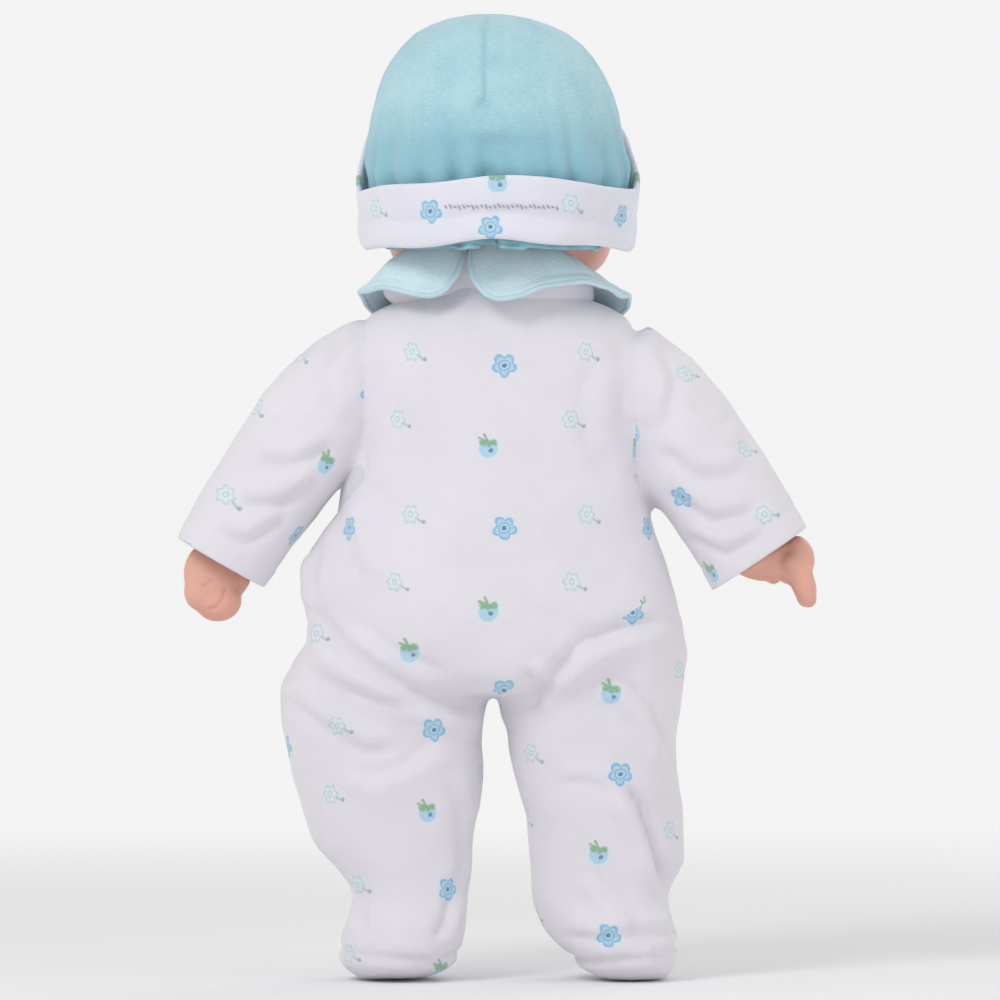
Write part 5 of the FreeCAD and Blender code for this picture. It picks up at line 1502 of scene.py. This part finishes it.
def eye_material(side):
    m = Nodes(f"eye_paint_{side}")
    c = eye_middle(side)
    q = m.vec("SUBTRACT", m.place(), tuple(c * MM))
    x, y, z = m.split(q)
    look = m.vec("SUBTRACT", q, (SIGN[side] * -0.0004, -EYE_R * MM, 0.0))
    r = m.mul(m.vec("LENGTH", look), 1000.0)
    color = m.mix(m.noise(q, 200.0, 2.0), srgb(238, 238, 240), srgb(246, 246, 246))
    angle = m.math("ARCTAN2", z, x)
    rays = m.math("SINE", m.mul(angle, 38.0))
    blue = m.mix(m.add(m.mul(rays, 0.25), 0.5, clamp=True), srgb(72, 116, 160), srgb(128, 172, 204))
    blue = m.mix(m.step(r, 3.0, 4.6), blue, srgb(36, 60, 98))
    color = m.mix(m.step(r, 4.8, 4.5), color, blue)
    color = m.mix(m.step(r, 2.2, 2.0), color, srgb(8, 8, 12))
    # painted highlight: a small white glint on the front of the eye stands in for a reflection of a lamp
    spot = m.vec("LENGTH", m.vec("SUBTRACT", q, (0.0022, -0.0094, 0.0024)))
    color = m.mix(m.step(spot, 0.0011, 0.0008), color, srgb(252, 252, 255))
    lid = m.math("ARCTAN2", z, m.mul(y, -1.0))
    skin = m.step(lid, 0.60, 0.64)
    color = m.mix(skin, color, srgb(226, 168, 150))
    lash = m.mul(m.step(lid, 0.53, 0.56), m.step(lid, 0.66, 0.63))
    color = m.mix(lash, color, srgb(70, 44, 34))
    m.plug(m.shader.inputs["Base Color"], color)
    m.shader.inputs["Roughness"].default_value = 0.12
    m.shader.inputs["Coat Weight"].default_value = 0.6
    m.bump(m.noise(q, 300.0, 1.0), 0.02, 0.0001)
    return m.mat


def build_lashes(side):
    """Short curved hairs along the edge of the lid that is on the ball."""
    c = eye_middle(side)
    shapes = []
    for i in range(17):
        a = math.radians(-48 + i * 6)
        up = 0.585
        base = np.array([math.sin(a) * math.cos(up), -math.cos(a) * math.cos(up), math.sin(up)])
        tip = np.array([math.sin(a * 1.15), -math.cos(a * 1.15), 0.95])
        p0 = c + base * (EYE_R - 0.3)
        p1 = c + base * (EYE_R + 0.9) + tip * 0.3
        p2 = c + base * (EYE_R + 1.5) + tip * 1.0
        shapes.append(finger([p0, p1, p2], [0.13, 0.11, 0.05], 6))
    return join_shapes(f"lashes_{side}", shapes)


head = build_head()
give(head, head_material())
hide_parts("head_shell")
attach(head, "head")
for side in SIGN:
    eye = build_eye(side)
    give(eye, eye_material(side))
    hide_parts(f"eyeball_{side}")
    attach(eye, "eyes")
    lashes = build_lashes(side)
    give(lashes, plain_cloth(f"lash_{side}", (72, 46, 36), 0.0003, 0.2))
    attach(lashes, "eyes")


# ------------------------------------------------------------------ hands
def arm_frame(side):
    """The shoulder, the direction down the arm, and the direction across it to the outside."""
    along = ARM_AXIS[side] / np.linalg.norm(ARM_AXIS[side])
    across = np.array([-along[2], 0, along[0]]) * SIGN[side]
    if across[0] * SIGN[side] < 0:
        across = -across
    return SHOULDER[side], along, across


def build_hand(side):
    """Chubby vinyl forearm and half-closed hand, turned in its cuff."""
    origin, along, across = arm_frame(side)
    front = np.array([0, -1.0, 0])

    def at(s, w, f):
        return origin + along * s + across * w + front * f
    shapes = []
    rings = []
    for s, r in ((40, 11.6), (40.4, 12.2), (43, 12.2), (43.4, 10.4), (47.4, 10.4), (47.8, 12.2), (56, 13.0),
                 (66, 12.4), (74, 10.6), (80, 9.4), (82, 8.6)):
        centre = at(s, 0, 0)
        rings.append([centre + r * (across * math.cos(a) + front * math.sin(a)) for a in
                      (2 * math.pi * j / 40 for j in range(40))])
    shapes.append(ring_tube(rings, 40))
    if side == "left":
        # a half-closed fist, seen from its back
        shapes += [ball((105.6, -0.5, 149.0), (10.6, 8.6, 12.0), 40, 26), ball((103.6, -1.5, 139.5), (8.8, 8.4, 8.2), 36, 24),
                   ball((109.5, -0.5, 142.5), (6.6, 7.4, 7.4), 32, 22)]
        for x, z in ((98.4, 138.6), (102.2, 136.0), (106.4, 136.2), (110.2, 139.4)):
            shapes.append(finger([(x, 1.5, z + 2), (x, -2.5, z - 1.4), (x, -7.0, z + 0.6), (x, -8.6, z + 5.0)], [3.2, 3.2, 3.0, 2.6], 16))
        shapes.append(finger([(97.0, -1.0, 150.0), (95.2, -6.0, 146.0), (97.4, -10.4, 142.4)], [3.6, 3.4, 2.8], 16))
    else:
        # an open hand seen edge on, its fingers hanging down one before another
        shapes += [ball((-98.0, -0.5, 155.2), (14.6, 9.0, 9.2), 40, 26), ball((-107.4, -0.5, 154.0), (8.2, 9.2, 9.4), 36, 24)]
        for y, low in ((-7.0, 1.4), (-2.6, 0.0), (1.9, 0.4), (6.2, 2.0)):
            lean = 0.9 * math.sin(y)
            shapes.append(finger([(-107.0, y, 153.0), (-110.4 + lean, y * 1.02, 148.6), (-112.2 + lean, y * 0.96, 143.4),
                                  (-112.8 + lean, y * 0.88, 139.4 + low)], [4.6, 4.5, 4.0, 3.2], 16))
        shapes.append(finger([(-97.0, -5.0, 152.0), (-98.0, -10.0, 149.4), (-101.0, -13.0, 147.6)], [3.8, 3.5, 2.9], 16))
    obj = join_shapes(f"hand_vinyl_{side}", shapes)
    fuse_skin(obj, 0.8)
    p = get_points(obj)
    s = (p - origin) @ along
    relax(obj, 4, 0.5, smoothstep(49.5, 52, s))
    p, n = get_points(obj), get_normals(obj)
    s = (p - origin) @ along
    push = -0.5 * np.exp(-((s - 79.5) / 0.8) ** 2)
    if side == "left":
        push += crease(p, n, [(100.2, 144.6), (101.2, 139.4), (104.4, 136.4), (108.4, 135.4)], 0.5, 0.8, 1)
        push += crease(p, n, [(104.6, 147.4), (107.4, 144.2), (109.6, 144.8)], 0.45, 0.8, 1)
    else:
        for y in (-4.8, -0.3, 4.1):
            push -= 0.7 * np.exp(-((p[:, 1] - y) / 0.7) ** 2) * smoothstep(151.0, 147.0, p[:, 2])
    set_points(obj, p + n * push[:, None])
    return obj


for side in SIGN:
    hand = build_hand(side)
    origin, along, across = arm_frame(side)
    tips = origin + along * 104 + np.array([0, -3, 0])
    wrist = origin + along * 84
    give(hand, vinyl(f"vinyl_hand_{side}", [(*tips, 12, (214, 128, 116), 0.4), (*wrist, 9, (214, 140, 124), 0.3)]))
    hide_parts(f"forearm_{side}")
    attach(hand, f"hand_{side}")


# ------------------------------------------------------------------ front opening
def surface_tree(obj):
    mesh = obj.data
    return BVHTree.FromPolygons([v.co[:] for v in mesh.vertices], [tuple(f.vertices) for f in mesh.polygons])


def front_point(tree, x, z, lift):
    """A point in front of the cloth at x and z, and the cloth's normal there."""
    hit, normal, _, _ = tree.ray_cast(Vector((x, -90, z)) * MM, Vector((0, 1, 0)))
    if normal.y > 0:
        normal = -normal
    return np.array(hit) / MM + np.array(normal) * lift, np.array(normal)


def build_placket(tree):
    """The overlapping strip down the front, with a stitched line along both edges."""
    half_wide, low, high = 7.5, 150.0, 240.0
    xs = np.linspace(-half_wide, half_wide, 31)
    zs = np.linspace(low, high, 91)
    top, under, uvs = [], [], []
    for z in zs:
        for x in xs:
            edge = min(half_wide - abs(x), z - low, high - z)
            lift = 1.5 - 0.8 * math.exp(-(edge / 0.5) ** 2) - 0.5 * math.exp(-((edge - 2.0) / 0.5) ** 2)
            lift += 0.15 * math.sin(z * 0.42 + x * 0.2)
            top.append(front_point(tree, x, z, lift)[0])
            under.append(front_point(tree, x, z, 0.15)[0])
            uvs.append((x * MM, z * MM))
    return make_object("placket_cloth", top + under, slab_faces(len(zs), len(xs)), uvs + uvs)


def build_snaps(tree):
    """Three domed press studs with a raised rim."""
    profile = [(0.0, -0.6), (3.6, -0.6), (3.9, 0.1), (3.6, 0.7), (2.9, 0.75), (2.5, 0.45), (1.6, 0.75), (0.0, 0.95)]
    count, shapes = 36, []
    low, high = node_box("placket_snaps")
    for z in np.linspace(high[2] - 4, low[2] + 4, 3):
        centre, normal = front_point(tree, 0.0, z, 1.5)
        side = np.cross(normal, (0, 0, 1.0))
        side /= np.linalg.norm(side)
        up = np.cross(side, normal)
        verts, faces = [], []
        for r, h in profile[1:-1]:
            for j in range(count):
                a = 2 * math.pi * j / count
                verts.append(centre + normal * h + r * (side * math.cos(a) + up * math.sin(a)))
        rows = len(profile) - 2
        for i in range(rows - 1):
            for j in range(count):
                p, q = i * count + j, i * count + (j + 1) % count
                faces.append((p, q, q + count, p + count))
        for base, h in ((0, profile[0][1]), ((rows - 1) * count, profile[-1][1])):
            tip = len(verts)
            verts.append(centre + normal * h)
            for j in range(count):
                faces.append((base + j, base + (j + 1) % count, tip))
        shapes.append((verts, faces))
    obj = join_shapes("snap_caps", shapes)
    face_outwards(obj)
    return obj


torso_tree = surface_tree(cloth["torso"])
placket = build_placket(torso_tree)
give(placket, printed_jersey("print_placket", (30.0, 210.0), 0))
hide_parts("front_placket")
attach(placket, "torso")
snaps = build_snaps(torso_tree)
give(snaps, plastic("stud_white", (232, 232, 236), 0.25))
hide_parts("placket_snaps")
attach(snaps, "torso")


# ------------------------------------------------------------------ stuffed inner body and limbs
def stuffed(name, shapes, voxel, slack, seed):
    obj = join_shapes(name, shapes)
    fuse_skin(obj, voxel)
    relax(obj, 5, 0.5)
    p, n = get_points(obj), get_normals(obj)
    set_points(obj, p + n * (slack * lumps(p, 16.0, seed))[:, None])
    return obj


def shell_tree(names):
    """The clothes' outer faces in one tree, in mm."""
    verts, faces, start = [], [], 0
    for name in names:
        mesh = cloth[name].data
        p = get_points(cloth[name])
        verts += [tuple(q) for q in p]
        faces += [[start + i for i in poly.vertices] for poly in mesh.polygons]
        start += len(p)
    return BVHTree.FromPolygons(verts, faces)


def keep_inside(obj, tree, gap):
    """Moves points that are nearer than gap to the clothes, or outside them, back inside."""
    p = get_points(obj)
    for i, q in enumerate(p):
        near, normal, _, away = tree.find_nearest(Vector(q), 14.0)
        if near is None:
            continue
        depth = (near - Vector(q)).dot(normal)
        if depth < gap and (depth > 0 or away < 12):
            p[i] = np.array(near - normal * gap)
    set_points(obj, p)


def body_rings(inset, low, high):
    return [level_ring(z, (a + b) / 2, cy, (a - b) / 2 - inset, ry - inset, power)
            for z, a, b, ry, cy, power in reversed(TORSO) if low <= z <= high]


def build_bag():
    """The sewn cloth body, gathered at its neck."""
    neck = [level_ring(z, 0, 0, r, r) for z, r in ((241.0, 23.5), (243.0, 22.0), (244.5, 20.6), (246.5, 21.5))]
    obj = stuffed("body_bag", [ring_tube(body_rings(4.6, 110, 236) + neck)], 1.9, 0.35, 21)
    p, n = get_points(obj), get_normals(obj)
    gather = np.sin(np.arctan2(p[:, 1], p[:, 0]) * 24) * smoothstep(228, 243, p[:, 2])
    seam = np.exp(-(p[:, 1] / 0.9) ** 2) * (np.abs(p[:, 0]) > 30)
    set_points(obj, p + n * (0.5 * gather - 0.6 * seam)[:, None])
    return obj


def build_fill():
    return stuffed("body_fill", [ring_tube(body_rings(6.4, 112, 236))], 2.4, 0.7, 22)


def build_arm_bag(side):
    origin, along, across = arm_frame(side)
    deep = np.array([0, 1.0, 0])
    rings = []
    for s, r in ((-8, 8), (-5, 13), (2, 16.0), (14, 16.6), (26, 16.0), (36, 14.6), (42, 12.4), (45.2, 11.2), (48, 12.8)):
        rings.append([origin + along * s + r * (across * math.cos(a) + deep * math.sin(a))
                      for a in (2 * math.pi * j / 48 for j in range(48))])
    obj = stuffed(f"arm_bag_{side}", [ring_tube(rings)], 1.4, 0.3, 23)
    p, n = get_points(obj), get_normals(obj)
    s = (p - origin) @ along
    turn_at = np.arctan2(p[:, 1], (p - origin) @ across)
    set_points(obj, p + n * (0.45 * np.sin(turn_at * 18) * smoothstep(32, 43, s))[:, None])
    return obj


def build_thigh_bag(side):
    x = SIGN[side] * 38.2
    rings = [level_ring(z, x, cy, r, r, 2.0) for z, r, cy in
             ((71.5, 15.6, -7), (74.0, 13.4, -7), (77.5, 16.5, -7), (86, 22.5, -6.5), (98, 26.0, -6), (110, 27.0, -6),
              (122, 24.5, -6), (131, 18, -6), (136, 9, -6))]
    obj = stuffed(f"thigh_bag_{side}", [ring_tube(rings)], 1.6, 0.35, 24)
    p, n = get_points(obj), get_normals(obj)
    turn_at = np.arctan2(p[:, 1] + 6, p[:, 0] - x)
    set_points(obj, p + n * (0.45 * np.sin(turn_at * 20) * smoothstep(90, 76, p[:, 2]))[:, None])
    return obj


def build_lower_leg(side):
    """Vinyl shin and foot inside the sleeper, with toes."""
    sign, rings = SIGN[side], []
    for z, inner, outer, ry, cy in reversed([r for r in LEGS[side] if r[0] <= 66]):
        wide = min((outer - inner) / 2 - 5.0, 16.5)
        deep = min(ry - 5.0, 16.5) if z > 26 else ry - 5.5
        if wide > 3:
            rings.append(level_ring(max(z, 3.4), sign * (inner + outer) / 2, cy, wide, deep, 2.1))
    x, cy = sign * 38.2, -7
    rings += [level_ring(z, x, cy, r, r) for z, r in ((70.0, 15.0), (72.4, 14.6), (73.0, 12.2), (75.6, 12.2), (76.2, 14.4), (77.0, 13.6))]
    obj = join_shapes(f"lower_leg_vinyl_{side}", [ring_tube(rings)])
    fuse_skin(obj, 1.3)
    p = get_points(obj)
    relax(obj, 6, 0.5, smoothstep(71, 66, p[:, 2]))
    p, n = get_points(obj), get_normals(obj)
    middle = p[p[:, 2] < 12][:, 0].mean()
    toes = -0.8 * np.abs(np.sin((p[:, 0] - middle) * 0.42)) ** 0.5 * smoothstep(-28, -33, p[:, 1]) * smoothstep(18, 12, p[:, 2])
    set_points(obj, p + n * toes[:, None])
    return obj


def soft(obj, node_list, body, share):
    give(obj, BODY_CLOTH)
    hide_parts(*node_list)
    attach(obj, body)


BODY_CLOTH = plain_cloth("body_cloth", (233, 214, 200), 0.0008, 0.5)
bag, fill = build_bag(), build_fill()
clothes = shell_tree(cloth)
keep_inside(bag, clothes, 2.4)
keep_inside(fill, clothes, 4.0)
soft(bag, ["body_skin", "body_flap"], "torso", 0.9)
give(fill, plain_cloth("fill_white", (240, 240, 240), 0.004, 0.6))
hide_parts("body_stuffing")
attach(fill, "torso")
for side in SIGN:
    arm_bag, thigh_bag, shin = build_arm_bag(side), build_thigh_bag(side), build_lower_leg(side)
    for piece in (arm_bag, thigh_bag, shin):
        keep_inside(piece, clothes, 2.4)
    soft(arm_bag, [f"upper_arm_{side}"], f"arm_{side}", 0.9)
    soft(thigh_bag, [f"thigh_{side}"], f"leg_{side}", 0.9)
    give(shin, vinyl(f"vinyl_leg_{side}"))
    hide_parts(f"lower_leg_{side}")
    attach(shin, f"leg_{side}")


# ------------------------------------------------------------------ parts carried over from the CAD
WHITE = plastic("white_plastic", (228, 228, 224), 0.42)
BLACK = plastic("black_plastic", (34, 34, 38), 0.38)
NYLON = plastic("nylon_tie", (222, 220, 210), 0.5, 900.0, 0.0, 0.25)
STEEL = plastic("steel", (184, 186, 190), 0.28, 1500.0, 1.0, 0.05)
CELL = plastic("cell_wrap", (52, 58, 72), 0.35, 1400.0, 0.25)
BOARD = plastic("board_green", (34, 104, 62), 0.45, 1800.0)
PAPER = plastic("cone_paper", (58, 56, 52), 0.85, 600.0, 0.0, 0.5)
FOAM = plastic("grey_foam", (92, 94, 98), 0.95, 420.0, 0.0, 0.9)
JACKET = plastic("lead_jacket", (176, 42, 40), 0.45, 900.0)
CARRIED = [
    (WHITE, "white_plastic", ["case_front", "case_back", "battery_door", "pad_base", "pad_cap", "eye_rocker"]),
    (BLACK, "black_plastic", ["switch_body", "switch_knob", "voice_chip", "pad_button", "speaker_frame"]),
    (NYLON, "nylon_tie", ["neck_tie", "arm_tie_left", "arm_tie_right", "leg_tie_left", "leg_tie_right"]),
    (STEEL, "steel", ["case_screws", "door_screw", "battery_springs", "battery_plates", "speaker_magnet", "eye_weight"]),
    (CELL, "battery_wrap", ["batteries"]),
    (BOARD, "board_green", ["circuit_board"]),
    (PAPER, "cone_paper", ["speaker_cone"]),
    (FOAM, "grey_foam", ["pad_foam"]),
    (JACKET, "lead_jacket", ["pad_lead"]),
]
for material, slot, names in CARRIED:
    for name in names:
        give(nodes[name], material)

# ------------------------------------------------------------------ camera, light and floor
SKY_LOW, SKY_HIGH = 0.90, 0.52              # brightness of the sky at the horizon and overhead


def build_stage():
    """A pale floor under a sky that is brightest round the horizon."""
    floor = make_object("floor", [(-9000, -9000, -0.4), (9000, -9000, -0.4), (9000, 9000, -0.4), (-9000, 9000, -0.4)],
                        [(0, 1, 2, 3)])
    m = Nodes("floor_paint")
    m.plug(m.shader.inputs["Base Color"],
           m.mix(m.noise(m.place(), 3.0, 2.0), srgb(243, 243, 244), srgb(248, 248, 249)))
    m.shader.inputs["Roughness"].default_value = 0.9
    # far from the doll the floor runs into the sky without an edge
    far = m.step(m.vec("LENGTH", m.place()), 0.35, 1.3)
    glow = m.node("ShaderNodeEmission")
    glow.inputs[0].default_value = (1.0, 1.0, 1.0, 1)
    glow.inputs[1].default_value = SKY_LOW
    blend = m.node("ShaderNodeMixShader")
    m.plug(blend.inputs[0], far)
    m.plug(blend.inputs[1], m.shader.outputs[0])
    m.plug(blend.inputs[2], glow.outputs[0])
    m.plug(m.tree.nodes["Material Output"].inputs[0], blend.outputs[0])
    floor.data.materials.append(m.mat)
    world = bpy.data.worlds.new("studio")
    bpy.context.scene.world = world
    world.use_nodes = True
    tree = world.node_tree
    background = tree.nodes["Background"]
    background.inputs[0].default_value = (1.0, 1.0, 1.0, 1)
    coords = tree.nodes.new("ShaderNodeTexCoord")
    parts = tree.nodes.new("ShaderNodeSeparateXYZ")
    fade = tree.nodes.new("ShaderNodeMapRange")
    tree.links.new(coords.outputs["Generated"], parts.inputs[0])
    tree.links.new(parts.outputs[2], fade.inputs[0])
    fade.inputs[1].default_value, fade.inputs[2].default_value = 0.08, 0.6
    fade.inputs[3].default_value, fade.inputs[4].default_value = SKY_LOW, SKY_HIGH
    tree.links.new(fade.outputs[0], background.inputs[1])


def add_light(name, place, size, power, tint=(1, 1, 1)):
    data = bpy.data.lights.new(name, "AREA")
    data.shape = "DISK"
    data.size = size
    data.energy = power
    data.color = tint
    light = bpy.data.objects.new(name, data)
    light.location = place
    aim = Vector((0, 0, 0.18)) - Vector(place)
    light.rotation_euler = aim.to_track_quat("-Z", "Y").to_euler()
    bpy.context.scene.collection.objects.link(light)


def add_camera():
    data = bpy.data.cameras.new("camera")
    data.lens = 255
    data.sensor_width = 36
    cam = bpy.data.objects.new("camera", data)
    reach = 2.6
    cam.location = (0.0, reach, 0.176)
    cam.rotation_euler = (math.radians(90), 0, math.radians(180))
    bpy.context.scene.collection.objects.link(cam)
    bpy.context.scene.camera = cam


build_stage()
add_light("key", (0.75, 1.15, 1.25), 0.6, 9.0)
add_light("fill", (-1.1, 0.8, 0.6), 1.0, 2.0)
add_light("front_key", (-0.8, -1.2, 1.0), 1.0, 3.5)
add_light("top", (0.0, 0.1, 1.5), 1.0, 1.5)
add_camera()
bpy.context.scene.view_settings.view_transform = "Standard"
